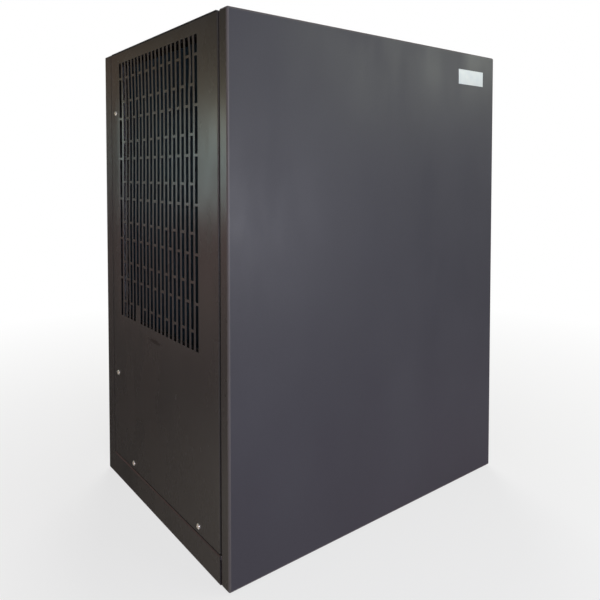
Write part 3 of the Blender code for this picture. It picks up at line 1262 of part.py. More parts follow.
def make_refrigerant_pipes(finishes):
    """Copper lines of the refrigerant circuit, each ending just short of its port."""
    copper = finishes["copper"]
    valve_x, line_y = ACCUMULATOR_X, COMPRESSOR_Y
    stub_x = COMPRESSOR_X - DISCHARGE_OFFSET
    stub_z = COMPRESSOR_TOP + DISCHARGE_STUB + SEAT
    valve_top = VALVE_Z + VALVE_RADIUS + VALVE_STUB + SEAT
    lane = max(stub_z, valve_top) + DISCHARGE_RISE - HOT_LINE_RADIUS
    pipe("discharge_pipe",
         [(stub_x, line_y, stub_z), (stub_x, line_y, lane), (valve_x, line_y, lane),
          (valve_x, line_y, valve_top)],
         HOT_LINE_RADIUS, HOT_LINE_BEND, copper)

    port_z = VALVE_PORTS_Z - SEAT
    low = port_z - HOT_LINE_BEND - HOT_LINE_RADIUS / 2
    hot_x = valve_x - VALVE_PORT_PITCH
    gas_port = CONDENSER_RIGHT + PORT_STUB + SEAT
    riser = gas_port + HOT_RISER_FROM_PORT
    gas_z = CONDENSER_Z + PORT_RISE
    pipe("hot_gas_pipe",
         [(hot_x, line_y, port_z), (hot_x, line_y, low), (riser, line_y, low),
          (riser, line_y, gas_z), (gas_port, line_y, gas_z)],
         HOT_LINE_RADIUS, HOT_LINE_BEND, copper)

    cold_x = valve_x + VALVE_PORT_PITCH
    gas_x = gas_riser_x()
    entry = circuit_heights()[0] + GAS_CROSSING
    pipe("evaporator_gas_pipe",
         [(cold_x, line_y, port_z), (cold_x, line_y, low), (cold_x, HEADER_Y, low),
          (gas_x, HEADER_Y, low), (gas_x, HEADER_Y, entry),
          (GAS_TUBE_X + HEADER_RADIUS + SEAT, HEADER_Y, entry)],
         COLD_LINE_RADIUS, HOT_LINE_BEND, copper)

    riser = gas_port + LIQUID_RISER_FROM_PORT
    liquid_z = CONDENSER_Z - PORT_RISE
    inlet_x = RECEIVER_X - RECEIVER_PORT_SPREAD
    across = FLOOR_TOP + LIQUID_LANE
    above = RECEIVER_TOP + RECEIVER_LANE
    pipe("condensed_liquid_pipe",
         [(gas_port, line_y, liquid_z), (riser, line_y, liquid_z), (riser, line_y, across),
          (riser, RECEIVER_Y, across), (riser, RECEIVER_Y, above), (inlet_x, RECEIVER_Y, above),
          (inlet_x, RECEIVER_Y, RECEIVER_TOP + SEAT)],
         LINE_RADIUS, LINE_BEND, copper)

    outlet_x = RECEIVER_X + RECEIVER_PORT_SPREAD
    pipe("receiver_outlet_pipe",
         [(outlet_x, RECEIVER_Y, RECEIVER_TOP + SEAT), (outlet_x, RECEIVER_Y, above),
          (DRIER_X, RECEIVER_Y, above), (DRIER_X, RECEIVER_Y, DRIER_BOTTOM + DRIER_HEIGHT + SEAT)],
         LINE_RADIUS, LINE_BEND, copper)

    low = DRIER_BOTTOM - DRIER_DROP
    pipe("drier_outlet_pipe",
         [(DRIER_X, RECEIVER_Y, DRIER_BOTTOM - SEAT), (DRIER_X, RECEIVER_Y, low),
          (DRIER_X, EXPANSION_Y, low), (DRIER_X, EXPANSION_Y, DRIER_BOTTOM - SEAT)],
         LINE_RADIUS, LINE_BEND, copper)

    start = DRIER_X - EXPANSION_RADIUS - EXPANSION_SIDE_STUB - SEAT
    motor_end = PUMP_X - PUMP_VOLUTE_WIDTH / 2 - PUMP_MOTOR_LENGTH
    lane_x = riser + (motor_end - riser) * EXPANSION_LANE_SHARE
    riser = liquid_riser_x()
    entry = circuit_heights()[0] - LIQUID_CROSSING
    pipe("evaporator_liquid_pipe",
         [(start, EXPANSION_Y, EXPANSION_SIDE_Z), (lane_x, EXPANSION_Y, EXPANSION_SIDE_Z),
          (lane_x, HEADER_Y, EXPANSION_SIDE_Z), (riser, HEADER_Y, EXPANSION_SIDE_Z),
          (riser, HEADER_Y, entry), (LIQUID_TUBE_X + HEADER_RADIUS + SEAT, HEADER_Y, entry)],
         LINE_RADIUS, LINE_BEND, copper)


def make_water_pipes(finishes):
    """Water lines between the condenser, the pump and the rear sockets, and the drain."""
    inner = RECESS_FRONT - SOCKET_FLANGE - 2 * SEAT
    port_x = CONDENSER_RIGHT + PORT_STUB + SEAT
    port_y = CONDENSER_Y - PORT_SPREAD
    flow_z = CONDENSER_Z + PORT_RISE
    pipe("water_flow_pipe",
         [(port_x, port_y, flow_z), (WATER_FLOW_X, port_y, flow_z), (WATER_FLOW_X, inner, flow_z)],
         WATER_LINE_RADIUS, WATER_LINE_BEND, finishes["copper"])
    lane_x = port_x + FRAME_WIDTH * WATER_RETURN_SHARE
    return_z = CONDENSER_Z - PORT_RISE
    pipe("water_return_pipe",
         [(PUMP_X, PUMP_Y - PUMP_SPAN / 2 - SEAT, PUMP_Z), (PUMP_X, port_y, PUMP_Z),
          (lane_x, port_y, PUMP_Z), (lane_x, port_y, return_z), (port_x, port_y, return_z)],
         WATER_LINE_RADIUS, WATER_LINE_BEND, finishes["copper"])
    spout_y = FRAME_REAR - SPOUT_FROM_REAR
    outlet = drain_outlet()
    pipe("condensate_pipe",
         [(COIL_MIDDLE, spout_y, PAN_FLOOR - SPOUT_DROP - SEAT), (COIL_MIDDLE, spout_y, outlet.z),
          (COIL_MIDDLE, outlet.y, outlet.z)],
         SPOUT_RADIUS, COLD_LINE_BEND, finishes["plastic"])


def make_electrics(finishes):
    """Electrical box with its cover, heat sink and inverter board."""
    low = Vector((BOX_LEFT, BOX_FRONT, STAND))
    high = Vector((BOX_RIGHT, BOX_REAR, STAND + BOX_HEIGHT))
    tray("electrical_box", low, high, (0, -1, 0), finishes["zinc"], sheet=BOX_SHEET)
    inset = Vector((BOX_SHEET + SEAT, 0.0, BOX_SHEET + SEAT))
    far = Vector((high.x, low.y + BOX_COVER_DEPTH, high.z))
    tray("electrical_box_cover", low + inset, far - inset, (0, 1, 0), finishes["zinc"], sheet=BOX_SHEET)

    wall = BOX_REAR - BOX_SHEET - SEAT
    left, bottom = BOX_LEFT + SINK_MARGIN, STAND + SINK_MARGIN + BOARD_OVER
    pitch = (SINK_WIDTH - SINK_FIN) / (SINK_FINS - 1)
    outline = [(SINK_WIDTH, -SINK_DEPTH), (0.0, -SINK_DEPTH)]
    for index in range(SINK_FINS):
        edge = index * pitch
        outline += [(edge, 0.0), (edge + SINK_FIN, 0.0)]
        if index < SINK_FINS - 1:
            base = SINK_BASE - SINK_DEPTH
            outline += [(edge + SINK_FIN, base), (edge + pitch, base)]
    prism("inverter_heat_sink", outline, SINK_HEIGHT, (left, wall, bottom), "Z", finishes["motor"])

    back = wall - SINK_DEPTH - SEAT
    low = Vector((left, back - BOARD_THICKNESS, bottom - BOARD_OVER))
    high = Vector((left + SINK_WIDTH + BOARD_OVER, back, bottom + SINK_HEIGHT + BOARD_OVER))
    board = block("inverter_board", low, high, finishes["board"])
    rod = [(0.0, BOARD_THICKNESS / 2), (CAPACITOR_RADIUS, BOARD_THICKNESS / 2),
           (CAPACITOR_RADIUS, -CAPACITOR_HEIGHT), (0.0, -CAPACITOR_HEIGHT)]
    for index in range(CAPACITORS):
        spot = low + Vector((BOARD_OVER + (index + 0.5) * CAPACITOR_PITCH, 0.0, CAPACITOR_PITCH))
        unite(board, turned(f"capacitor_{index}", rod, spot, "Y", steps=ROUND_SIDES))
        near = Vector((spot.x - COIL_BLOCK / 2, low.y - COIL_BLOCK_HEIGHT, high.z - 2 * CAPACITOR_PITCH))
        far = near + Vector((COIL_BLOCK, COIL_BLOCK_HEIGHT + BOARD_THICKNESS / 2, COIL_BLOCK))
        unite(board, block(f"relay_{index}", near, far))


def main():
    clear_scene()
    finishes = make_finishes()
    make_base(finishes)
    make_frame(finishes)
    make_front_panel(finishes)
    make_side_panels(finishes)
    make_top_cover(finishes)
    make_rear_panel(finishes)
    make_connections(finishes)
    make_deck(finishes)
    make_drain_pan(finishes)
    make_evaporator(finishes)
    make_fan(finishes)
    make_compressor(finishes)
    make_accumulator(finishes)
    make_valve(finishes)
    make_condenser(finishes)
    make_liquid_line_parts(finishes)
    make_pump(finishes)
    make_refrigerant_pipes(finishes)
    make_water_pipes(finishes)
    make_electrics(finishes)


main()
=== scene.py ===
import json
from math import cos, pi, radians, sin

import bmesh
import bpy
from mathutils import Matrix, Vector


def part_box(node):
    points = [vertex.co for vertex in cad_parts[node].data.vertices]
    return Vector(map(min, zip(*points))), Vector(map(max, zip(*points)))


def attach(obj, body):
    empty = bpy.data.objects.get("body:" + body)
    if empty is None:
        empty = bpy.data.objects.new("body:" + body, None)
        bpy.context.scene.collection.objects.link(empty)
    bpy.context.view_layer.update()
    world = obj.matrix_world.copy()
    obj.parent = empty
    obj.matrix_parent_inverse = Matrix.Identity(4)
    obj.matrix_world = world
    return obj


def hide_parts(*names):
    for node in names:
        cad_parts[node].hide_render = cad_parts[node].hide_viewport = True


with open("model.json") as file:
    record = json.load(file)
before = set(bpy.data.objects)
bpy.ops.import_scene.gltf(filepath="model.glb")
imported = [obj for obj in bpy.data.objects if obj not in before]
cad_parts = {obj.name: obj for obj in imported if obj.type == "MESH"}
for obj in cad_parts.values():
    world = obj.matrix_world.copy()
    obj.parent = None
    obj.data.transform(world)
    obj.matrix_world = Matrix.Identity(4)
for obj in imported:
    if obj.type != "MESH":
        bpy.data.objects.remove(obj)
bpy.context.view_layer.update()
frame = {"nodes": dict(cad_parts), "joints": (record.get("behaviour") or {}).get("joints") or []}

# Sheet metal of the casing
SHEET = 0.0015
FOLD = 0.0025
FRONT_FOLD = 0.0042
FOLD_STEPS = 5
CUT_EDGE = 0.0003
CUT_ANGLE = radians(60.0)
SHARP_ANGLE = radians(38.0)
SHADING_WEIGHT = 90
FRONT_RETURN = 0.0433
SEAT = 0.0003

# Facets round the turned shapes
TURN_STEPS = 48
SCREW_STEPS = 32
STUD_STEPS = 24
TUBE_STEPS = 12
HUB_STEPS = 60
RING_STEPS = 96
MOTOR_STEPS = 64

# Slots of the side panels
SLOT_WIDTH = 0.0122
SLOT_SHEET = 0.001
SLOT_COLUMNS = 21
COLUMN_PITCH = 0.020
ROW_PITCH = 0.100
BRIDGE = 0.006
BRIDGES = 6
SHORT_SLOT = 0.036
END_SLOT = 0.094
FIELD_FROM_TOP = 0.0282
FIELD_SHIFT = 0.013
BLIND_COLUMN = 6
GRID_STEP = 0.014

# Dents of the slotted sheets
DISH_DEPTH = 0.0032
DISH_HEIGHT = 0.925
DISH_SPREAD = 0.30
DISH_TOP_MARGIN = 0.01
DISH_REAR = (0.044, 0.084)
DISH_FALL_START = 0.12
DISH_FALL_REACH = 0.04
DISH_FALL_SHARE = 0.75
SAG_SHARE = 0.25
SAG_BELOW = 0.03
SAG_ABOVE = 0.05
SAG_TOP = (0.01, 0.05)
BENT_BARS = ((19, 0.0066), (18, 0.0026), (17, 0.0012))
BENT_HEIGHT = 1.018
BENT_SPREAD = 0.068
BENT_REACH = 0.015

# Colours of the powder coat and of settled dust
GRAPHITE = (0.0475, 0.047, 0.057)
# Warm-tinted copy of the graphite for the sides: the tint is a painted reflection of the warm surroundings
GRAPHITE_SIDES_WARM_REFLECTION = (0.050, 0.047, 0.046)
# Lighter copy of the graphite for the front panel's rounded folds: a painted highlight
GRAPHITE_FOLD_HIGHLIGHT = (0.104, 0.095, 0.097)
DUST = (0.30, 0.28, 0.25)

# Short dark mark on the inlet side
DARK_MARK_PLACE = (-0.410, 0.014, 0.409)
DARK_MARK_SIZE = (0.05, 0.044, 0.0062)
DARK_MARK_COLOUR = (0.012, 0.011, 0.011)

# Rear window and drain hole
WINDOW_LOW = (-0.205, 0.105)
WINDOW_HIGH = (0.250, 0.378)
WINDOW_CORNER = 0.006
WINDOW_CORNER_STEPS = 5
WINDOW_CUT = 0.01
DRAIN_HOLE = 0.013
DRAIN_CUT = 0.02

# Screws
SCREW_HEAD = 0.0060
SCREW_RISE = 0.0030
SCREW_RIM_SHARE = 0.18
SCREW_CROWN_SHARE = 0.52
SCREW_DOME_STEPS = 6
SCREW_RECESS = 0.0030
RECESS_WIDTH = 0.0011
RECESS_DEPTH = 0.0015
RECESS_TAPER = 0.55
SIDE_SCREWS = ((0.2375, 0.947), (0.2375, 0.279), (0.1415, 0.077), (-0.1925, 0.077))
REAR_SCREW_INSET = 0.014
REAR_SCREW_ROWS = 4
PLATE_SCREW_INSET = 0.018

# Recess of the first screw in a row, and how much further the next one is turned
SIDE_TURN = (0.3, 0.7)
REAR_TURN = (0.0, 0.9)
PLATE_TURN = (0.2, 1.1)

# Front panel and its push-in studs, as radii at shares of their length
FRONT_DEPTH = 0.030
STUD_LEVELS = (("lower", 0.2323), ("upper", 0.950))
STUD_PROFILE = (
    (0.0025, 0.0), (0.0025, 0.42), (0.0034, 0.55), (0.0040, 0.71), (0.0034, 0.88), (0.0020, 0.97),
)

# Notched corners of the top cover
TOP_CORNER = 0.0185
TOP_STEP = 0.0055

# Blank badge on the front panel
BADGE_WIDTH = 0.100
BADGE_HEIGHT = 0.037
BADGE_THICKNESS = 0.0008
BADGE_FROM_SIDE = 0.048
BADGE_FROM_TOP = 0.043
BADGE_RIM = 0.000375

# Evaporator fins
FIN_PITCH = 0.0026
FIN_THICKNESS = 0.0004
FIN_WAVE = 0.0009
FIN_BENDS = 6
TUBE_ROWS = 16
TUBE_RADIUS = 0.005
TUBE_FROM_MIDDLE = 0.016

# Fan
BLADES = 5
BLADE_ROOT_CHORD = 0.085
BLADE_TIP_CHORD = 0.175
BLADE_ROOT_PITCH = 30.0
BLADE_TIP_PITCH = 17.0
BLADE_SWEEP = 16.0
BLADE_CAMBER_SHARE = 0.07
BLADE_THICKNESS = 0.003
BLADE_EDGE = 0.0012
BLADE_EDGE_ANGLE = radians(50.0)
BLADE_STEPS = 14
TIP_ROUNDING = 0.10
TIP_START = 0.86
HUB_RADIUS = 0.070
HUB_DEPTH = 0.042
HUB_WALL = 0.004
HUB_FILLET = 0.006
HUB_FILLET_STEPS = 4
HUB_EDGE = 0.0006
HUB_CROWN = ((0.0, 0.002), (0.030, 0.001))
HUB_BOSS = 0.010
HUB_RIBS = 10
HUB_RIB_HALF = 0.001
HUB_RIB_BITE = 0.001
HUB_RIB_DROP = 0.006
SHAFT_RADIUS = 0.006
ROOT_BITE = 0.002

# Orifice ring of the fan; the bead's points are its rise and its share of the length
RING_RADIUS = 0.227
RING_MOUTH = 0.015
RING_SHEET = 0.002
RING_LIP = 0.016
RING_EDGE = 0.0004
MOUTH_STEPS = 8
RING_BEAD = ((0.0, 0.62), (0.004, 0.60), (0.004, 0.57), (0.0, 0.55))

# Fan motor: radii with heights above its foot, and radii with depths below its face
MOTOR_FOOT = ((0.0063, 0.0), (0.030, 0.0), (0.030, 0.006), (0.043, 0.0084), (0.052, 0.012))
MOTOR_FACE = ((0.052, 0.006), (0.049, 0.002), (0.045, 0.0), (0.0063, 0.0))
MOTOR_EDGE = 0.0006
MOTOR_FINS = 24
MOTOR_FIN_RADII = (0.050, 0.055)
MOTOR_FIN_HALF = 0.0009
MOTOR_FIN_ENDS = (0.0144, 0.0096)
MOTOR_FIN_EDGE = 0.0003

# Camera, fitted to the photograph's corners; the picture is taken as 600 by 600
CAMERA_PLACE = (-0.9721, -1.2541, 0.7942)
CAMERA_YAW = 37.79
CAMERA_PITCH = -2.0
FOCAL_PIXELS = 593.7
CENTRE_ROW = 194.2
PICTURE = 600
SENSOR = 36.0
CLIP = (0.05, 100.0)

# Surround: colours from straight down to straight up, at the heights given as shares
SURROUND_HEIGHTS = (0.0, 0.26, 0.34, 0.41, 0.47, 0.52, 0.57, 0.63, 1.0)
SURROUND_LEFT = (
    (0.05, 0.04, 0.04), (0.90, 0.78, 0.66), (0.20, 0.13, 0.12), (0.85, 0.62, 0.54), (0.66, 0.20, 0.18),
    (0.06, 0.05, 0.04), (0.50, 0.38, 0.14), (0.06, 0.05, 0.04), (0.30, 0.30, 0.30),
)
SURROUND_REAR = (
    (0.10, 0.09, 0.08), (0.01, 0.01, 0.01), (0.02, 0.02, 0.02), (0.05, 0.045, 0.045), (0.06, 0.05, 0.05),
    (0.06, 0.05, 0.04), (0.26, 0.16, 0.11), (0.08, 0.07, 0.05), (0.25, 0.25, 0.25),
)
SURROUND_FRONT = (
    (0.90, 0.88, 0.90), (0.30, 0.13, 0.19), (0.13, 0.08, 0.09), (0.10, 0.10, 0.10), (0.10, 0.10, 0.10),
    (0.16, 0.16, 0.16), (0.16, 0.16, 0.16), (0.16, 0.16, 0.16), (0.35, 0.35, 0.35),
)
LEFT_TO_REAR = (-0.54, -0.34)
REAR_TO_FRONT = (-0.20, 0.35)

# Floor, its glow by distance, and the dark field under the plinth
FLOOR_RADIUS = 24.0
FLOOR_STEPS = 64
FLOOR_COLOUR = (0.90, 0.90, 0.90, 1.0)
FLOOR_ROUGHNESS = 0.9
GLOW_DISTANCES = (0.6, 2.2)
GLOW_SHARES = (0.70, 1.0)
PLINTH_HALF = (0.408, 0.274, 1.0)
PLINTH_EDGE_SHARE = 0.94

# Share of white that mirrors show of the surround and the floor
MIRRORED_WHITE = 0.02

# Lamps: place, size, watts and colour
LAMP_TARGET = (0.0, 0.0, 0.55)
LAMPS = {
    "key_lamp": ((1.2, -3.4, 0.46), (1.0, 0.8), 31.0, (0.92, 0.93, 1.0)),
    "near_lamp": ((-0.85, -2.2, 0.66), (0.7, 0.7), 14.5, (0.76, 0.78, 1.0)),
    "left_lamp": ((-2.0, -3.0, 1.0), (0.8, 0.8), 14.0, (1.0, 0.95, 0.95)),
    "top_lamp": ((2.4, -2.3, 1.75), (2.0, 0.5), 22.0, (0.94, 1.0, 0.84)),
    "window_lamp": ((-3.1, 3.2, 1.25), (0.8, 0.35), 4.2, (1.0, 0.90, 0.66)),
    "gap_lamp": ((-2.68, 3.62, 0.88), (0.85, 0.9), 6.5, (0.76, 1.0, 0.98)),
    "back_lamp": ((2.4, 3.6, 3.0), (2.6, 2.2), 90.0, (1.0, 0.98, 0.96)),
}


class Nodes:
    """Nodes of one shader tree."""

    def __init__(self, tree):
        self.tree = tree

    def feed(self, socket, value):
        """Give a socket a value, or connect it to a socket of another node."""
        if isinstance(value, bpy.types.NodeSocket):
            self.tree.links.new(value, socket)
        else:
            socket.default_value = value

    def add(self, kind, settings=None, **inputs):
        """One node with its settings and its named inputs."""
        node = self.tree.nodes.new(kind)
        for name, value in (settings or {}).items():
            setattr(node, name, value)
        for name, value in inputs.items():
            self.feed(node.inputs[name.replace("_", " ")], value)
        return node

    def maths(self, operation, *values, kind="ShaderNodeMath"):
        """Node of one sum on numbers, or on vectors with the other kind."""
        node = self.add(kind, {"operation": operation})
        for socket, value in zip(node.inputs, values):
            self.feed(socket, value)
        return node

    def vector_maths(self, operation, *values):
        return self.maths(operation, *values, kind="ShaderNodeVectorMath")

    def span(self, value, low, high, start=0.3, end=0.7, easing="LINEAR"):
        """A value between start and end turned into one between low and high."""
        node = self.add(
            "ShaderNodeMapRange", {"interpolation_type": easing}, Value=value, From_Min=start,
            From_Max=end, To_Min=low, To_Max=high,
        )
        return node.outputs["Result"]

    def blend(self, share, first, second):
        """Colour between two colours, by a share."""
        node = self.add("ShaderNodeMix", {"data_type": "RGBA"})
        for socket, value in zip((node.inputs[0], node.inputs[6], node.inputs[7]), (share, first, second)):
            self.feed(socket, (*value, 1.0) if isinstance(value, tuple) else value)
        return node.outputs[2]

    def send_mix(self, share, first, second, output):
        """Send two shaders to an output, mixed by a share."""
        mix = self.add("ShaderNodeMixShader", Fac=share)
        self.feed(mix.inputs[1], first)
        self.feed(mix.inputs[2], second)
        self.feed(self.tree.nodes[output].inputs["Surface"], mix.outputs[0])


class Finish(Nodes):
    """A procedural finish built round one Principled shader."""

    def __init__(self, name, roughness, metallic=0.0, specular=0.5):
        self.material = bpy.data.materials.new(name)
        self.material.use_nodes = True
        super().__init__(self.material.node_tree)
        self.shader = self.tree.nodes["Principled BSDF"]
        self.shader.inputs["Roughness"].default_value = roughness
        self.shader.inputs["Metallic"].default_value = metallic
        self.shader.inputs["Specular IOR Level"].default_value = specular
        self.place = self.add("ShaderNodeTexCoord").outputs["Object"]

    def stretch(self, scale):
        """The object's coordinates stretched along each axis."""
        return self.add("ShaderNodeMapping", Vector=self.place, Scale=scale).outputs["Vector"]

    def noise(self, scale, detail=2.0, place=None, rough=0.5):
        node = self.add(
            "ShaderNodeTexNoise", Vector=place or self.place, Scale=scale, Detail=detail,
            Roughness=rough,
        )
        return node.outputs["Fac"]

    def bump(self, height, distance, strength=1.0, after=None):
        inputs = {"Height": height, "Distance": distance, "Strength": strength}
        if after is not None:
            inputs["Normal"] = after
        return self.add("ShaderNodeBump", **inputs).outputs["Normal"]

    def use(self, **sockets):
        """Connect sockets to the shader by name."""
        for name, socket in sockets.items():
            self.feed(self.shader.inputs[name.replace("_", " ")], socket)
        return self.material


def lighter(colour, share):
    """A colour scaled by a share."""
    return tuple(min(1.0, part * share) for part in colour)


def dark_mark(finish):
    """Share of a short ragged dark mark under the slots."""
    mark = finish.add(
        "ShaderNodeMapping", {"vector_type": "TEXTURE"}, Vector=finish.place, Location=DARK_MARK_PLACE,
        Scale=DARK_MARK_SIZE,
    ).outputs["Vector"]
    reach = finish.vector_maths("LENGTH", mark).outputs["Value"]
    ragged_reach = finish.maths("ADD", reach, finish.noise(90.0, 3.0)).outputs["Value"]
    return finish.span(ragged_reach, 0.85, 0.0, 0.9, 1.45)


def powder_coat(name, colour, roughness=0.42, dust_share=0.0, with_dark_mark=False):
    """Satin powder coat: fine grain, soft waves of the sheet, faint smears and cloudiness."""
    finish = Finish(name, roughness, specular=0.30)
    cloud = finish.noise(2.6, 3.0)
    smear = finish.noise(1.0, 5.0, finish.stretch((9.0, 9.0, 3.5)), 0.62)
    base = finish.blend(finish.span(cloud, 0.0, 1.0), lighter(colour, 0.93), lighter(colour, 1.07))
    speck = finish.noise(420.0, 2.0)
    base = finish.blend(finish.span(speck, 0.0, 0.16, 0.45, 0.8), base, lighter(colour, 1.7))
    if dust_share > 0.0:
        settled = finish.span(finish.noise(36.0, 6.0), 0.0, dust_share, 0.42, 0.74)
        base = finish.blend(settled, base, DUST)
    # A short ragged dark mark under the slots on the inlet side
    if with_dark_mark:
        base = finish.blend(dark_mark(finish), base, DARK_MARK_COLOUR)
    rough = finish.span(smear, roughness - 0.06, roughness + 0.09)
    wave = finish.bump(finish.noise(3.1, 1.0), 0.004, 0.16)
    grain = finish.bump(finish.noise(1100.0, 2.0), 0.00006, 0.5, wave)
    return finish.use(Base_Color=base, Roughness=rough, Normal=grain)


def galvanised(name="galvanised_sheet"):
    """Zinc-coated steel with its spangle and rolling lines."""
    finish = Finish(name, 0.4, metallic=1.0)
    spangle = finish.add("ShaderNodeTexVoronoi", Vector=finish.place, Scale=150.0).outputs["Color"]
    shade = finish.add("ShaderNodeSeparateColor", Color=spangle).outputs["Red"]
    base = finish.blend(finish.span(shade, 0.0, 1.0, 0.0, 1.0), (0.47, 0.49, 0.51), (0.56, 0.58, 0.60))
    rough = finish.span(shade, 0.36, 0.46, 0.0, 1.0)
    lines = finish.noise(1.0, 2.0, finish.stretch((260.0, 260.0, 8.0)))
    return finish.use(Base_Color=base, Roughness=rough, Normal=finish.bump(lines, 0.0001, 0.4))


def coated_fin():
    """Aluminium fins with a blue coat, darker and dusty in patches."""
    finish = Finish("blue_coated_fin", 0.42, metallic=0.35)
    streak = finish.noise(1.0, 3.0, finish.stretch((30.0, 260.0, 6.0)))
    patch = finish.noise(7.0, 4.0)
    base = finish.blend(finish.span(streak, 0.0, 1.0), (0.008, 0.026, 0.046), (0.020, 0.058, 0.090))
    base = finish.blend(finish.span(patch, 0.0, 0.45, 0.45, 0.75), base, (0.020, 0.022, 0.024))
    return finish.use(Base_Color=base, Roughness=finish.span(patch, 0.36, 0.62))


def drawn_metal(name, colour, tarnish, roughness, scale=38.0, metallic=1.0):
    """Drawn or turned metal with tarnish in soft patches and fine scratches."""
    finish = Finish(name, roughness, metallic=metallic)
    patch = finish.noise(scale, 5.0, rough=0.6)
    base = finish.blend(finish.span(patch, 0.0, 0.75, 0.42, 0.72), colour, tarnish)
    scratch = finish.noise(1.0, 2.0, finish.stretch((900.0, 900.0, 60.0)))
    rough = finish.span(patch, roughness - 0.07, roughness + 0.16)
    return finish.use(Base_Color=base, Roughness=rough, Normal=finish.bump(scratch, 0.00008, 0.4))


def coated(name, colour, roughness, grain_scale, grain_height, specular=0.5):
    """Enamel, moulded plastic or rubber: one colour with a fine grain and handling marks."""
    finish = Finish(name, roughness, specular=specular)
    patch = finish.noise(24.0, 5.0, rough=0.6)
    base = finish.blend(finish.span(patch, 0.0, 1.0), lighter(colour, 0.8), lighter(colour, 1.25))
    rough = finish.span(patch, roughness - 0.05, roughness + 0.09)
    grain = finish.bump(finish.noise(grain_scale, 3.0), grain_height, 0.6)
    return finish.use(Base_Color=base, Roughness=rough, Normal=grain)


def cast_metal(name, colour, roughness):
    """Cast aluminium with a coarse grain."""
    finish = Finish(name, roughness, metallic=0.9)
    patch = finish.noise(60.0, 4.0)
    base = finish.blend(finish.span(patch, 0.0, 1.0), lighter(colour, 0.8), lighter(colour, 1.15))
    grain = finish.bump(finish.noise(700.0, 3.0), 0.0002, 0.5)
    rough = finish.span(patch, roughness - 0.05, roughness + 0.1)
    return finish.use(Base_Color=base, Roughness=rough, Normal=grain)


def circuit_board():
    """Green solder mask with paler tracks."""
    finish = Finish("solder_mask", 0.4)
    grid = finish.add("ShaderNodeTexBrick", Vector=finish.place, Scale=70.0).outputs["Fac"]
    patch = finish.noise(45.0, 2.0)
    base = finish.blend(finish.span(patch, 0.0, 1.0), (0.015, 0.10, 0.045), (0.03, 0.17, 0.08))
    base = finish.blend(finish.span(grid, 0.0, 0.5, 0.0, 1.0), base, (0.10, 0.30, 0.14))
    return finish.use(Base_Color=base, Roughness=finish.span(patch, 0.34, 0.5))


def badge_face():
    """Pale satin foil of the blank badge."""
    finish = Finish("badge_foil", 0.32, metallic=0.15)
    brushed = finish.noise(1.0, 2.0, finish.stretch((40.0, 40.0, 1500.0)))
    cloud = finish.noise(32.0, 2.0)
    base = finish.blend(finish.span(cloud, 0.0, 1.0), (0.47, 0.51, 0.55), (0.56, 0.58, 0.59))
    base = finish.blend(finish.span(brushed, 0.0, 0.12), base, (0.36, 0.39, 0.42))
    return finish.use(Base_Color=base, Roughness=finish.span(brushed, 0.28, 0.4))


finishes = {
    "front_paint": powder_coat("graphite_coat_front", GRAPHITE, 0.42),
    # Lighter coat on the front folds, a painted highlight
    "fold_highlight_paint": powder_coat("graphite_coat_fold_highlight", GRAPHITE_FOLD_HIGHLIGHT, 0.38),
    # The sides' coat carries the warm tint, a painted reflection
    "side_paint_warm_reflection": powder_coat("graphite_coat_sides_warm_reflection", GRAPHITE_SIDES_WARM_REFLECTION, 0.25),
    "inlet_paint_warm_reflection": powder_coat("graphite_coat_inlet_warm_reflection", GRAPHITE_SIDES_WARM_REFLECTION, 0.25, with_dark_mark=True),
    "top_paint": powder_coat("graphite_coat_top", GRAPHITE, 0.45, dust_share=0.14),
    "zinc": galvanised(),
    "fin": coated_fin(),
    "copper": drawn_metal("drawn_copper", (0.66, 0.33, 0.20), (0.30, 0.14, 0.09), 0.30),
    # Copper darkened as painted shade for the unlit inside of the cabinet, with tarnish patches
    "copper_painted_shade": drawn_metal("copper_darkened_as_shade", (0.13, 0.075, 0.055), (0.05, 0.032, 0.026), 0.50),
    "brass": drawn_metal("machined_brass", (0.68, 0.52, 0.25), (0.42, 0.31, 0.16), 0.30),
    "steel": drawn_metal("brazed_stainless", (0.58, 0.57, 0.55), (0.45, 0.40, 0.34), 0.28, 20.0),
    "screw": drawn_metal("zinc_plated_screw", (0.92, 0.91, 0.84), (0.66, 0.64, 0.60), 0.22, 300.0, 0.70),
    "black": coated("black_enamel", (0.018, 0.018, 0.020), 0.34, 260.0, 0.0002),
    "plastic": coated("black_moulding", (0.026, 0.026, 0.028), 0.52, 1400.0, 0.0001),
    "rubber": coated("matt_rubber", (0.022, 0.022, 0.022), 0.80, 900.0, 0.0002, 0.3),
    "motor": cast_metal("cast_aluminium", (0.42, 0.43, 0.44), 0.50),
    "board": circuit_board(),
    "pump": coated("pump_enamel", (0.09, 0.11, 0.13), 0.40, 500.0, 0.0002),
    "badge": badge_face(),
}

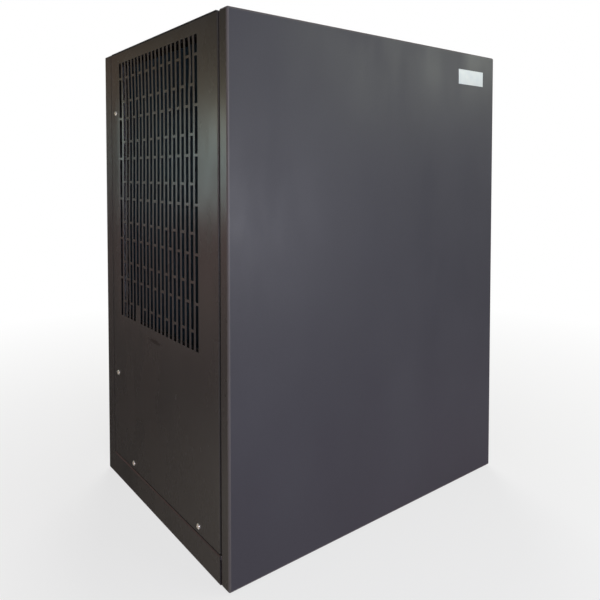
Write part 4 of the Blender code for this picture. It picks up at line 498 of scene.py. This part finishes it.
NODE_FINISHES = {
    "side_paint_warm_reflection": ("base_channel_left", "base_channel_right"),
    "zinc": (
        "base_channel_front", "base_channel_rear", "floor_plate", "post_front_left",
        "post_front_right", "post_rear_left", "post_rear_right", "top_rail_left", "top_rail_right",
        "connection_plate", "partition_deck", "drain_pan", "evaporator_end_plate_front",
        "evaporator_end_plate_rear", "fan_plate", "fan_motor_bar", "electrical_box",
        "electrical_box_cover",
    ),
    "copper": (
        "filter_drier", "compressor_inlet_elbow", "discharge_pipe", "hot_gas_pipe",
        "condensed_liquid_pipe", "receiver_outlet_pipe", "drier_outlet_pipe", "water_flow_pipe",
        "water_return_pipe",
    ),
    # Coil headers and pipes seen through the slots, in the copper darkened as painted shade
    "copper_painted_shade": (
        "evaporator_gas_header", "evaporator_liquid_header", "evaporator_gas_pipe",
        "evaporator_liquid_pipe",
    ),
    "brass": ("water_flow_socket", "water_return_socket", "four_way_valve", "expansion_valve"),
    "steel": ("plate_condenser",),
    "black": ("compressor", "suction_accumulator", "liquid_receiver"),
    "plastic": ("terminal_cover", "power_gland", "signal_gland", "condensate_pipe"),
    "rubber": ("compressor_grommet_1", "compressor_grommet_2", "compressor_grommet_3"),
    "motor": ("inverter_heat_sink",),
    "board": ("inverter_board",),
    "pump": ("circulation_pump",),
}


def dress_nodes():
    """Give every carried-over node its finish."""
    for finish, names in NODE_FINISHES.items():
        for name in names:
            slots = frame["nodes"][name].material_slots
            if not slots:
                frame["nodes"][name].data.materials.append(finishes[finish])
            for slot in slots:
                slot.material = finishes[finish]


def mesh_from(name, shape):
    """Mesh of a finished shape."""
    mesh = bpy.data.meshes.new(name)
    shape.to_mesh(mesh)
    shape.free()
    return mesh


def add_object(name, data):
    """New object in the scene."""
    item = bpy.data.objects.new(name, data)
    bpy.context.scene.collection.objects.link(item)
    return item


def piece(name, shape, finish, body="root", stands_for=(), smooth=True):
    """A mesh piece in the cabinet's coordinates that rides on a body."""
    mesh = mesh_from(name, shape)
    if smooth:
        mesh.shade_smooth()
    item = add_object(name, mesh)
    mesh.materials.append(finishes[finish])
    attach(item, body)
    if stands_for:
        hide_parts(*stands_for)
    return item


def add_bevel(item, name, width, segments, angle=SHARP_ANGLE):
    bevel = item.modifiers.new(name, "BEVEL")
    bevel.width = width
    bevel.segments = segments
    bevel.limit_method = "ANGLE"
    bevel.angle_limit = angle


def soften(item, name, width, angle=SHARP_ANGLE):
    """Rounded edges with even shading, the last change of a piece."""
    add_bevel(item, name, width, 2, angle)
    shading = item.modifiers.new("even_shading", "WEIGHTED_NORMAL")
    shading.keep_sharp = False
    shading.weight = SHADING_WEIGHT


def add_wall(item, thickness=SHEET):
    """Thickness of a sheet-metal skin, inwards from its outer face."""
    wall = item.modifiers.new("sheet", "SOLIDIFY")
    wall.thickness = thickness
    wall.offset = -1.0
    wall.use_even_offset = True


def add_sheet(item, thickness=SHEET, fold=FOLD):
    """Folds, thickness and softened cut edges of a sheet-metal skin."""
    add_bevel(item, "folds", fold, FOLD_STEPS)
    add_wall(item, thickness)
    soften(item, "cut_edges", CUT_EDGE, CUT_ANGLE)


def cut(item, name, shape):
    """Cut a shape out of a piece; the tool itself isn't shown."""
    bmesh.ops.recalc_face_normals(shape, faces=shape.faces)
    tool = add_object(name, mesh_from(name, shape))
    tool.hide_render = True
    tool.hide_viewport = True
    change = item.modifiers.new(name, "BOOLEAN")
    change.operation = "DIFFERENCE"
    change.solver = "EXACT"
    change.object = tool
    return change


def add_box(shape, low, high):
    """One box inside a bmesh, between two corners."""
    low, high = Vector(low), Vector(high)
    size = Matrix.Diagonal((*(high - low), 1.0))
    return bmesh.ops.create_cube(shape, size=1.0, matrix=Matrix.Translation((low + high) / 2) @ size)


def open_tray(low, high, open_side, lip=0.0):
    """A box without the face on its open side, with an optional return lip there."""
    shape = bmesh.new()
    add_box(shape, low, high)
    bmesh.ops.recalc_face_normals(shape, faces=shape.faces)
    side = Vector(open_side)
    mouth = max(shape.faces, key=lambda face: face.normal.dot(side))
    if lip > 0.0:
        bmesh.ops.inset_region(
            shape, faces=[mouth], thickness=lip, use_boundary=True, use_even_offset=True,
        )
    bmesh.ops.delete(shape, geom=[mouth], context="FACES")
    return shape


AXIS_TURNS = {
    "X": Matrix(((0, 0, 1), (1, 0, 0), (0, 1, 0))),
    "Y": Matrix(((1, 0, 0), (0, 0, 1), (0, 1, 0))),
    "Z": Matrix(((1, 0, 0), (0, 1, 0), (0, 0, 1))),
}


def turned(profile, place, axis, steps=TURN_STEPS, closed=False):
    """Profile of (radius, height) points turned about an axis through a place."""
    shape = bmesh.new()
    turn = AXIS_TURNS[axis]
    points = [shape.verts.new(turn @ Vector((radius, 0.0, height))) for radius, height in profile]
    pairs = list(zip(points, points[1:]))
    if closed:
        pairs.append((points[-1], points[0]))
    edges = [shape.edges.new(pair) for pair in pairs]
    bmesh.ops.spin(
        shape, geom=points + edges, cent=(0, 0, 0), axis=turn @ Vector((0, 0, 1)),
        angle=2 * pi, steps=steps, use_merge=True,
    )
    bmesh.ops.remove_doubles(shape, verts=shape.verts, dist=SEAT / 100)
    bmesh.ops.recalc_face_normals(shape, faces=shape.faces)
    bmesh.ops.translate(shape, verts=shape.verts, vec=Vector(place))
    return shape


def hump(value, middle, spread):
    """Smooth bump of height 1 round a middle, zero beyond its spread."""
    away = abs(value - middle) / spread
    return (1 - away * away) ** 2 if away < 1.0 else 0.0


def ease(value, start, end):
    """Smooth step from 0 at the start to 1 at the end."""
    share = min(1.0, max(0.0, (value - start) / (end - start)))
    return share * share * (3 - 2 * share)


def column_slots(column, top, bottom):
    """Lowest and highest end of each slot in one column, counted from the rear."""
    first = SHORT_SLOT + BRIDGE / 2
    if column % 2:
        bridges = [top - first - row * ROW_PITCH for row in range(BRIDGES)]
    else:
        bridges = [bottom + first + row * ROW_PITCH for row in range(BRIDGES)][::-1]
    highs = [top] + [bridge - BRIDGE / 2 for bridge in bridges]
    lows = [bridge + BRIDGE / 2 for bridge in bridges] + [bottom]
    slots = list(zip(lows, highs))
    return slots[:-1] if column == BLIND_COLUMN else slots


def grid_lines(marks, low, high):
    """Sorted lines through all marks, with more where two lie far apart."""
    fixed = sorted({round(mark, 5) for mark in marks} | {low, high})
    lines = []
    for start, end in zip(fixed, fixed[1:]):
        steps = max(1, round((end - start) / GRID_STEP))
        lines += [start + (end - start) * step / steps for step in range(steps)]
    return lines + [high]


def add_flange(shape, edges, reach):
    """Fold edges of a skin over by a vector."""
    grown = bmesh.ops.extrude_edge_only(shape, edges=edges)
    flange = [part for part in grown["geom"] if isinstance(part, bmesh.types.BMVert)]
    bmesh.ops.translate(shape, verts=flange, vec=reach)


def face_outwards(shape, outward):
    """Turn a skin's faces so that its largest one looks outward."""
    bmesh.ops.recalc_face_normals(shape, faces=shape.faces)
    largest = max(shape.faces, key=lambda face: face.calc_area())
    if largest.normal.dot(Vector(outward)) < 0:
        bmesh.ops.reverse_faces(shape, faces=shape.faces)


def make_slotted_sheet(name, node, hand):
    """Side panel with its punched slots; hand is -1 on the left and 1 on the right."""
    low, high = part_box(node)
    outer = low.x if hand < 0 else high.x
    depth = high.x - low.x
    top = high.z - FIELD_FROM_TOP
    bottom = top - (SHORT_SLOT + (BRIDGES - 1) * ROW_PITCH + BRIDGE + END_SLOT)
    rearmost = (low.y + high.y) / 2 + FIELD_SHIFT + (SLOT_COLUMNS - 1) / 2 * COLUMN_PITCH
    columns = [rearmost - index * COLUMN_PITCH for index in range(SLOT_COLUMNS)]
    slots = [column_slots(index + 1, top, bottom) for index in range(SLOT_COLUMNS)]
    edges = [y + side * SLOT_WIDTH / 2 for y in columns for side in (-1, 1)]
    ends = [end for column in slots for slot in column for end in slot]
    ys, zs = grid_lines(edges, low.y, high.y), grid_lines(ends, low.z, high.z)
    bent = [(columns[bar - 1] - COLUMN_PITCH / 2, shift) for bar, shift in BENT_BARS if hand < 0]
    front = columns[-1]

    def is_open(y, z):
        index = round((rearmost - y) / COLUMN_PITCH)
        if not 0 <= index < SLOT_COLUMNS or abs(y - columns[index]) > SLOT_WIDTH / 2:
            return False
        return any(start < z < end for start, end in slots[index])

    def place(y, z):
        """The sheet is dished a little round the slots, and a few bars of the inlet are bent."""
        fall = ease(high.y - y, DISH_FALL_START, high.y - front + DISH_FALL_REACH)
        across = ease(high.y - y, *DISH_REAR) * (1 - DISH_FALL_SHARE * fall)
        spread = DISH_SPREAD if z < DISH_HEIGHT else high.z - DISH_HEIGHT - DISH_TOP_MARGIN
        sag = ease(z, bottom - SAG_BELOW, bottom + SAG_ABOVE) * ease(high.z - z, *SAG_TOP)
        dish = SAG_SHARE * sag + (1 - SAG_SHARE) * hump(z, DISH_HEIGHT, spread)
        dent = DISH_DEPTH * across * dish
        pushed = sum(shift * hump(y, bar_y, BENT_REACH) for bar_y, shift in bent)
        return Vector((outer - hand * dent, y - pushed * hump(z, BENT_HEIGHT, BENT_SPREAD), z))

    shape = bmesh.new()
    grid = [[shape.verts.new(place(y, z)) for z in zs] for y in ys]
    for i, (y, y_next) in enumerate(zip(ys, ys[1:])):
        for j, (z, z_next) in enumerate(zip(zs, zs[1:])):
            if not is_open((y + y_next) / 2, (z + z_next) / 2):
                shape.faces.new((grid[i][j], grid[i + 1][j], grid[i + 1][j + 1], grid[i][j + 1]))
    limits = ((1, low.y), (1, high.y), (2, low.z), (2, high.z))
    rim = [edge for edge in shape.edges if edge.is_boundary and any(
        all(abs(vert.co[axis] - limit) < SEAT for vert in edge.verts) for axis, limit in limits
    )]
    add_flange(shape, rim, (-hand * depth, 0.0, 0.0))
    loose = [vert for vert in shape.verts if not vert.link_faces]
    bmesh.ops.delete(shape, geom=loose, context="VERTS")
    face_outwards(shape, (hand, 0.0, 0.0))
    paint = "inlet_paint_warm_reflection" if hand < 0 else "side_paint_warm_reflection"
    item = piece(name, shape, paint, stands_for=(node,))
    add_sheet(item, SLOT_SHEET)
    return outer


def make_screw_mesh():
    """Pan-head screw with a cross recess, its axis along +Z and its seat at zero."""
    foot, rim = -SCREW_RISE / 2, SCREW_RISE * SCREW_RIM_SHARE
    profile = [(0.0, foot), (SCREW_HEAD, foot), (SCREW_HEAD, rim)]
    for step in range(1, SCREW_DOME_STEPS + 1):
        angle = pi / 2 * step / SCREW_DOME_STEPS
        profile.append((
            SCREW_HEAD * (SCREW_CROWN_SHARE + (1 - SCREW_CROWN_SHARE) * cos(angle)),
            SCREW_RISE * (SCREW_RIM_SHARE + (1 - SCREW_RIM_SHARE) * sin(angle)),
        ))
    profile.append((0.0, SCREW_RISE))
    blank = turned(profile, (0.0, 0.0, 0.0), "Z", SCREW_STEPS)
    head = add_object("screw_blank", mesh_from("screw", blank))
    cuts = []
    for index, (x, y) in enumerate(((SCREW_RECESS, RECESS_WIDTH / 2), (RECESS_WIDTH / 2, SCREW_RECESS))):
        arm = bmesh.new()
        made = add_box(arm, (-x, -y, SCREW_RISE - RECESS_DEPTH), (x, y, SCREW_RISE + RECESS_DEPTH))
        for vert in made["verts"]:
            if vert.co.z < SCREW_RISE:
                vert.co.x *= RECESS_TAPER if x > y else 1.0
                vert.co.y *= RECESS_TAPER if y > x else 1.0
        cuts.append(cut(head, f"recess_{index}", arm))
    graph = bpy.context.evaluated_depsgraph_get()
    result = bpy.data.meshes.new_from_object(head.evaluated_get(graph))
    for change in cuts:
        bpy.data.objects.remove(change.object)
    bpy.data.objects.remove(head)
    result.materials.clear()
    result.materials.append(finishes["screw"])
    result.shade_smooth()
    result.set_sharp_from_angle(angle=SHARP_ANGLE)
    return result


def add_screw(name, mesh, place, outward, turns, index):
    """One screw head seated on a panel, its recess turned by its place in the row."""
    item = add_object(name, mesh)
    tilt = Vector(outward).to_track_quat("Z", "Y").to_matrix().to_4x4()
    first, step = turns
    turn = Matrix.Rotation(step * index + first, 4, "Z")
    item.matrix_world = Matrix.Translation(place) @ tilt @ turn
    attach(item, "root")


def make_screws(left, right):
    """Screws of both side panels, the rear panel and the connection plate."""
    mesh = make_screw_mesh()
    for side, x, hand in (("left", left, -1), ("right", right, 1)):
        for index, (y, z) in enumerate(SIDE_SCREWS):
            name = f"side_screw_{side}_{index + 1}"
            add_screw(name, mesh, (x, y, z), (hand, 0, 0), SIDE_TURN, index)
    low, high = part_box("rear_panel")
    for side, x in (("left", low.x + REAR_SCREW_INSET), ("right", high.x - REAR_SCREW_INSET)):
        for index in range(REAR_SCREW_ROWS):
            share = (index + 0.5) / REAR_SCREW_ROWS
            place = (x, high.y, low.z + (high.z - low.z) * share)
            add_screw(f"rear_screw_{side}_{index + 1}", mesh, place, (0, 1, 0), REAR_TURN, index)
    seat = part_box("connection_plate")[0].y + SHEET
    xs, zs = (
        (start + PLATE_SCREW_INSET, end - PLATE_SCREW_INSET) for start, end in zip(WINDOW_LOW, WINDOW_HIGH)
    )
    for index, (x, z) in enumerate((x, z) for x in xs for z in zs):
        add_screw(f"plate_screw_{index + 1}", mesh, (x, seat, z), (0, 1, 0), PLATE_TURN, index)


def make_front_cover():
    """Plain front panel with its return lips, and its push-in studs."""
    low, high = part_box("front_panel")
    lip_face = low.y + FRONT_DEPTH
    shape = open_tray(low, (high.x, lip_face, high.z), (0, 1, 0), FRONT_RETURN)
    # The tray's side walls take the sides' coat, with its painted warm reflection tint
    for face in shape.faces:
        face.material_index = 0 if abs(face.normal.y) > 0.5 else 1
    item = piece("front_cover_sheet", shape, "front_paint", "front_cover", ("front_panel",))
    item.data.materials.append(finishes["side_paint_warm_reflection"])
    item.data.materials.append(finishes["fold_highlight_paint"])
    add_sheet(item, fold=FRONT_FOLD)
    # The rounded folds take the lighter coat, a painted highlight along the edges
    item.modifiers["folds"].material = 2
    length = high.y - lip_face
    profile = [(0.0, 0.0)] + [(radius, length * share) for radius, share in STUD_PROFILE] + [(0.0, length)]
    for side in ("left", "right"):
        post_low, post_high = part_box(f"post_front_{side}")
        x = (post_low.x + post_high.x) / 2
        for level, z in STUD_LEVELS:
            stud = turned(profile, (x, lip_face - SHEET / 2, z), "Y", STUD_STEPS)
            piece(f"stud_{level}_{side}", stud, "screw", "front_cover")
    return low, high


def make_badge(low, high):
    """Blank badge in the upper right corner of the front panel."""
    right = high.x - BADGE_FROM_SIDE
    top = high.z - BADGE_FROM_TOP
    shape = bmesh.new()
    add_box(
        shape, (right - BADGE_WIDTH, low.y - BADGE_THICKNESS, top - BADGE_HEIGHT),
        (right, low.y + SEAT, top),
    )
    item = piece("blank_badge", shape, "badge", "front_cover")
    soften(item, "rounded_rim", BADGE_RIM)


def make_top_sheet():
    """Top cover with its notched corners and its front and rear flanges."""
    low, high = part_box("top_cover")
    west, east = low.x + TOP_CORNER, high.x - TOP_CORNER
    south, north = low.y + TOP_STEP, high.y - TOP_STEP
    ring = [
        (west, low.y), (east, low.y), (east, south), (high.x, south), (high.x, north), (east, north),
        (east, high.y), (west, high.y), (west, north), (low.x, north), (low.x, south), (west, south),
    ]
    shape = bmesh.new()
    verts = [shape.verts.new((x, y, high.z)) for x, y in ring]
    shape.faces.new(verts)
    for first, second in ((0, 1), (6, 7)):
        edge = shape.edges.get((verts[first], verts[second]))
        add_flange(shape, [edge], (0.0, 0.0, low.z - high.z))
    face_outwards(shape, (0.0, 0.0, 1.0))
    item = piece("top_cover_sheet", shape, "top_paint", stands_for=("top_cover",))
    add_sheet(item)


def make_rear_sheet():
    """Rear panel wrapped round the corners, with its window and drain hole."""
    low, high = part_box("rear_panel")
    item = piece(
        "rear_panel_sheet", open_tray(low, high, (0, -1, 0)), "side_paint_warm_reflection",
        stands_for=("rear_panel",),
    )
    add_bevel(item, "folds", FOLD, FOLD_STEPS)
    add_wall(item)
    window = bmesh.new()
    add_box(
        window, (WINDOW_LOW[0], high.y - WINDOW_CUT, WINDOW_LOW[1]),
        (WINDOW_HIGH[0], high.y + WINDOW_CUT, WINDOW_HIGH[1]),
    )
    through = [edge for edge in window.edges if abs(edge.verts[0].co.y - edge.verts[1].co.y) > SEAT]
    bmesh.ops.bevel(
        window, geom=through, offset=WINDOW_CORNER, segments=WINDOW_CORNER_STEPS, profile=0.5,
        affect="EDGES",
    )
    cut(item, "window_tool", window)
    pipe_low, pipe_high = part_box("condensate_pipe")
    x = (pipe_low.x + pipe_high.x) / 2
    z = pipe_low.z + (pipe_high.x - pipe_low.x) / 2
    bore = [(0.0, -DRAIN_CUT), (DRAIN_HOLE, -DRAIN_CUT), (DRAIN_HOLE, DRAIN_CUT), (0.0, DRAIN_CUT)]
    cut(item, "drain_tool", turned(bore, (x, high.y, z), "Y"))
    soften(item, "cut_edges", CUT_EDGE, CUT_ANGLE)


def make_fins():
    """Pack of thin wavy fins on their tubes."""
    low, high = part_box("evaporator_fins")
    shape = bmesh.new()
    count = int((high.y - low.y) // FIN_PITCH)
    for index in range(count + 1):
        y = low.y + FIN_THICKNESS + (high.y - low.y - 2 * FIN_THICKNESS) * index / count
        front_line, back_line = [], []
        for step in range(FIN_BENDS + 1):
            x = low.x + (high.x - low.x) * step / FIN_BENDS
            bend = FIN_WAVE * (step % 2) if 0 < step < FIN_BENDS else 0.0
            for line, side in ((front_line, -1), (back_line, 1)):
                line.append([
                    shape.verts.new((x, y + bend + side * FIN_THICKNESS / 2, z)) for z in (low.z, high.z)
                ])
        loop = front_line + back_line[::-1]
        for first, second in zip(loop, loop[1:] + loop[:1]):
            shape.faces.new((first[0], second[0], second[1], first[1]))
        for end in (0, 1):
            for step in range(FIN_BENDS):
                shape.faces.new((
                    front_line[step][end], front_line[step + 1][end],
                    back_line[step + 1][end], back_line[step][end],
                ))
    bmesh.ops.recalc_face_normals(shape, faces=shape.faces)
    piece("fin_pack", shape, "fin", stands_for=("evaporator_fins",), smooth=False)
    middle = (low.x + high.x) / 2
    tubes = bmesh.new()
    for row in range(TUBE_ROWS):
        z = low.z + (high.z - low.z) * (row + 0.5) / TUBE_ROWS
        for x in (middle - TUBE_FROM_MIDDLE, middle + TUBE_FROM_MIDDLE):
            tube = [(0.0, low.y), (TUBE_RADIUS, low.y), (TUBE_RADIUS, high.y), (0.0, high.y)]
            mesh = mesh_from("tube", turned(tube, (x, 0.0, z), "Y", TUBE_STEPS))
            tubes.from_mesh(mesh)
            bpy.data.meshes.remove(mesh)
    # The coil tubes take the copper darkened as painted shade
    piece("coil_tubes", tubes, "copper_painted_shade")


def fan_point(axial, radius, angle):
    """Point in the fan's frame, whose axis runs along X."""
    return Vector((axial, radius * sin(angle), radius * cos(angle)))


def blade_section(share, radius, angle):
    """Points from edge to edge of one blade, at a share of its span."""
    rounding = 1.0 - TIP_ROUNDING * ease(share, TIP_START, 1.0)
    chord = (BLADE_ROOT_CHORD + (BLADE_TIP_CHORD - BLADE_ROOT_CHORD) * share) * rounding
    pitch = radians(BLADE_ROOT_PITCH + (BLADE_TIP_PITCH - BLADE_ROOT_PITCH) * share)
    base = angle + radians(BLADE_SWEEP) * share
    points = []
    for column in range(BLADE_STEPS + 1):
        along = column / BLADE_STEPS - 0.5
        lift = BLADE_CAMBER_SHARE * chord * (1 - 4 * along * along)
        around = along * chord * cos(pitch) - lift * sin(pitch)
        axial = along * chord * sin(pitch) + lift * cos(pitch)
        points.append(fan_point(axial, radius, base + around / radius))
    return points


def make_blades(centre, tip):
    """Swept and cambered blades, from just inside the hub to their tips."""
    root = HUB_RADIUS - ROOT_BITE
    shape = bmesh.new()
    for index in range(BLADES):
        grid = []
        for row in range(BLADE_STEPS + 1):
            share = row / BLADE_STEPS
            points = blade_section(share, root + (tip - root) * share, 2 * pi * index / BLADES)
            grid.append([shape.verts.new(centre + point) for point in points])
        for first, second in zip(grid, grid[1:]):
            for column in range(BLADE_STEPS):
                shape.faces.new((first[column], first[column + 1], second[column + 1], second[column]))
    bmesh.ops.recalc_face_normals(shape, faces=shape.faces)
    item = piece("fan_blades", shape, "plastic", "fan_rotor", ("fan_impeller",))
    skin = item.modifiers.new("thickness", "SOLIDIFY")
    skin.thickness = BLADE_THICKNESS
    skin.offset = 0.0
    add_bevel(item, "rounded_edges", BLADE_EDGE, 3, BLADE_EDGE_ANGLE)


def spokes(count, centre, low, high):
    """Boxes set round the fan's axis, the first one between two corners."""
    shape = bmesh.new()
    for index in range(count):
        made = add_box(shape, low, high)
        turn = Matrix.Translation(centre) @ Matrix.Rotation(2 * pi * index / count, 4, "X")
        bmesh.ops.transform(shape, matrix=turn, verts=made["verts"])
    return shape


def make_hub(centre, shaft_end):
    """Hub cup with its rounded rim, its boss on the shaft and its ribs."""
    half = HUB_DEPTH / 2
    inner = half - HUB_WALL
    bore = HUB_RADIUS - HUB_WALL
    profile = [(radius, -half - rise) for radius, rise in HUB_CROWN] + [(HUB_RADIUS - HUB_FILLET, -half)]
    for step in range(1, HUB_FILLET_STEPS + 1):
        angle = pi / 2 * step / HUB_FILLET_STEPS
        profile.append((
            HUB_RADIUS - HUB_FILLET * (1 - sin(angle)), -half + HUB_FILLET * (1 - cos(angle)),
        ))
    profile += [
        (HUB_RADIUS, half), (bore, half), (bore, -inner), (HUB_BOSS, -inner), (HUB_BOSS, half),
        (SHAFT_RADIUS, half), (SHAFT_RADIUS, shaft_end), (0.0, shaft_end),
    ]
    hub = turned(profile, centre, "X", HUB_STEPS)
    soften(piece("fan_hub", hub, "plastic", "fan_rotor"), "rounded_edges", HUB_EDGE)
    ribs = spokes(
        HUB_RIBS, centre, (-inner, HUB_BOSS - HUB_RIB_BITE, -HUB_RIB_HALF),
        (half - HUB_RIB_DROP, HUB_RADIUS - HUB_WALL / 2, HUB_RIB_HALF),
    )
    piece("fan_hub_ribs", ribs, "plastic", "fan_rotor", smooth=False)


def make_impeller():
    """Five swept blades on a ribbed hub."""
    joint = next(one for one in frame["joints"] if one["name"] == "fan_spin")
    centre = Vector(joint["pos_m"])
    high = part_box("fan_impeller")[1]
    make_blades(centre, max(high.z - centre.z, high.y - centre.y))
    make_hub(centre, high.x - centre.x)
    return centre


def make_fan_ring(centre):
    """Moulded orifice ring with its rounded mouth and a stiffening bead."""
    low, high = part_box("fan_ring")
    length = high.x - low.x
    flare = RING_RADIUS + RING_MOUTH
    wall = RING_RADIUS + RING_SHEET
    outer = RING_MOUTH - RING_SHEET
    inside, outside = [(flare, 0.0)], [(flare, RING_SHEET)]
    for step in range(1, MOUTH_STEPS + 1):
        angle = pi / 2 * step / MOUTH_STEPS
        inside.append((flare - RING_MOUTH * sin(angle), RING_MOUTH * (1 - cos(angle))))
        outside.append((flare - outer * sin(angle), RING_SHEET + outer * (1 - cos(angle))))
    lip = [
        (RING_RADIUS, length), (RING_RADIUS + RING_LIP, length),
        (RING_RADIUS + RING_LIP, length - RING_SHEET), (wall, length - RING_SHEET),
    ]
    bead = [(wall + rise, length * share) for rise, share in RING_BEAD]
    rim = flare + RING_LIP
    profile = [(rim, 0.0)] + inside + lip + bead + outside[::-1] + [(rim, RING_SHEET)]
    shape = turned(profile, (low.x, centre.y, centre.z), "X", RING_STEPS, closed=True)
    item = piece("orifice_ring", shape, "plastic", stands_for=("fan_ring",))
    soften(item, "rounded_edges", RING_EDGE)


def make_fan_motor(centre):
    """External-rotor motor with its cooling fins."""
    low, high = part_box("fan_motor")
    body = high.x - low.x
    profile = list(MOTOR_FOOT) + [(radius, body - depth) for radius, depth in MOTOR_FACE]
    shape = turned(profile, (low.x, centre.y, centre.z), "X", MOTOR_STEPS, closed=True)
    item = piece("fan_motor_housing", shape, "motor", stands_for=("fan_motor",))
    soften(item, "rounded_edges", MOTOR_EDGE)
    root, tip = MOTOR_FIN_RADII
    fins = spokes(
        MOTOR_FINS, (0.0, centre.y, centre.z), (low.x + MOTOR_FIN_ENDS[0], root, -MOTOR_FIN_HALF),
        (high.x - MOTOR_FIN_ENDS[1], tip, MOTOR_FIN_HALF),
    )
    item = piece("fan_motor_fins", fins, "motor", smooth=False)
    add_bevel(item, "rounded_edges", MOTOR_FIN_EDGE, 1)


def look_along(item, direction):
    """Turn a lamp or the camera so that it looks along a direction."""
    item.rotation_mode = "QUATERNION"
    item.rotation_quaternion = direction.to_track_quat("-Z", "Y")


def add_lamp(name, place, size, watts, colour):
    """Rectangular lamp that looks at the middle of the object."""
    lamp = bpy.data.lights.new(name, "AREA")
    lamp.shape = "RECTANGLE"
    lamp.size, lamp.size_y = size
    lamp.energy = watts
    lamp.color = colour
    item = add_object(name, lamp)
    item.location = place
    look_along(item, Vector(LAMP_TARGET) - item.location)


def add_camera():
    """Camera at the photograph's place, with its angle of view."""
    lens = bpy.data.cameras.new("photo_camera")
    lens.sensor_width = SENSOR
    lens.lens = FOCAL_PIXELS / PICTURE * SENSOR
    lens.shift_y = (CENTRE_ROW - PICTURE / 2) / PICTURE
    lens.clip_start, lens.clip_end = CLIP
    item = add_object("photo_camera", lens)
    item.location = CAMERA_PLACE
    yaw, pitch = radians(CAMERA_YAW), radians(CAMERA_PITCH)
    look_along(item, Vector((sin(yaw) * cos(pitch), cos(yaw) * cos(pitch), sin(pitch))))
    bpy.context.scene.camera = item


def seen_directly(nodes):
    """1 for what the camera sees directly or through glass, and a share of it in reflections."""
    path = nodes.add("ShaderNodeLightPath").outputs
    seen = nodes.maths("MULTIPLY", path["Is Glossy Ray"], MIRRORED_WHITE).outputs[0]
    for name in ("Is Camera Ray", "Is Transmission Ray"):
        seen = nodes.maths("MAXIMUM", seen, path[name]).outputs[0]
    return seen


def outside_plinth(nodes, place):
    """0 under the plinth, where no light reaches the floor, and 1 outside it."""
    scaled = nodes.vector_maths("DIVIDE", place, PLINTH_HALF).outputs[0]
    size = nodes.vector_maths("ABSOLUTE", scaled).outputs[0]
    parts = nodes.add("ShaderNodeSeparateXYZ", Vector=size).outputs
    larger = nodes.maths("MAXIMUM", parts["X"], parts["Y"]).outputs[0]
    return nodes.span(larger, 0.0, 1.0, PLINTH_EDGE_SHARE, 1.0)


def make_floor():
    """White floor that keeps the object's shadow."""
    shape = bmesh.new()
    bmesh.ops.create_circle(shape, cap_ends=True, segments=FLOOR_STEPS, radius=FLOOR_RADIUS)
    mesh = mesh_from("floor", shape)
    floor = add_object("floor", mesh)
    floor.location.z = -SEAT
    floor.visible_glossy = False
    material = bpy.data.materials.new("white_floor")
    material.use_nodes = True
    nodes = Nodes(material.node_tree)
    shader = nodes.tree.nodes["Principled BSDF"]
    shader.inputs["Base Color"].default_value = FLOOR_COLOUR
    shader.inputs["Roughness"].default_value = FLOOR_ROUGHNESS
    place = nodes.add("ShaderNodeTexCoord").outputs["Object"]
    reach = nodes.vector_maths("LENGTH", place).outputs["Value"]
    fade = nodes.span(reach, *GLOW_SHARES, *GLOW_DISTANCES)
    shown = nodes.maths("MULTIPLY", fade, outside_plinth(nodes, place)).outputs[0]
    share = nodes.maths("MULTIPLY", shown, seen_directly(nodes)).outputs[0]
    glow = nodes.add("ShaderNodeEmission").outputs[0]
    nodes.send_mix(share, shader.outputs[0], glow, "Material Output")
    mesh.materials.append(material)


def make_surround():
    """White surround, and the dim coloured room that lights and mirrors in the object."""
    world = bpy.data.worlds.new("soft_surround")
    bpy.context.scene.world = world
    world.use_nodes = True
    nodes = Nodes(world.node_tree)
    place = nodes.add("ShaderNodeTexCoord").outputs["Generated"]
    parts = nodes.add("ShaderNodeSeparateXYZ", Vector=place).outputs
    lift = nodes.span(parts["Z"], 0.0, 1.0, -1.0, 1.0)
    sides = []
    for name, colours in (("left", SURROUND_LEFT), ("rear", SURROUND_REAR), ("front", SURROUND_FRONT)):
        heights = nodes.add("ShaderNodeValToRGB", {"name": f"surround_{name}"}, Fac=lift)
        ramp = heights.color_ramp
        for share in SURROUND_HEIGHTS[1:-1]:
            ramp.elements.new(share)
        for mark, colour in zip(ramp.elements, colours):
            mark.color = (*colour, 1.0)
        sides.append(heights.outputs["Color"])
    room = sides[0]
    for limits, colour in zip((LEFT_TO_REAR, REAR_TO_FRONT), sides[1:]):
        room = nodes.blend(nodes.span(parts["X"], 0.0, 1.0, *limits, "SMOOTHSTEP"), room, colour)
    dim = nodes.tree.nodes["Background"]
    nodes.feed(dim.inputs["Strength"], 1.0)
    nodes.feed(dim.inputs["Color"], room)
    white = nodes.add("ShaderNodeBackground", Color=(1.0, 1.0, 1.0, 1.0), Strength=1.0).outputs[0]
    nodes.send_mix(seen_directly(nodes), dim.outputs[0], white, "World Output")


def main():
    add_camera()
    make_floor()
    make_surround()
    for name, settings in LAMPS.items():
        add_lamp(name, *settings)
    dress_nodes()
    left = make_slotted_sheet("inlet_side_sheet", "side_panel_left", -1)
    right = make_slotted_sheet("outlet_side_sheet", "side_panel_right", 1)
    low, high = make_front_cover()
    make_badge(low, high)
    make_top_sheet()
    make_rear_sheet()
    make_screws(left, right)
    make_fins()
    centre = make_impeller()
    make_fan_ring(centre)
    make_fan_motor(centre)


main()

bpy.context.scene.view_settings.view_transform = "Standard"
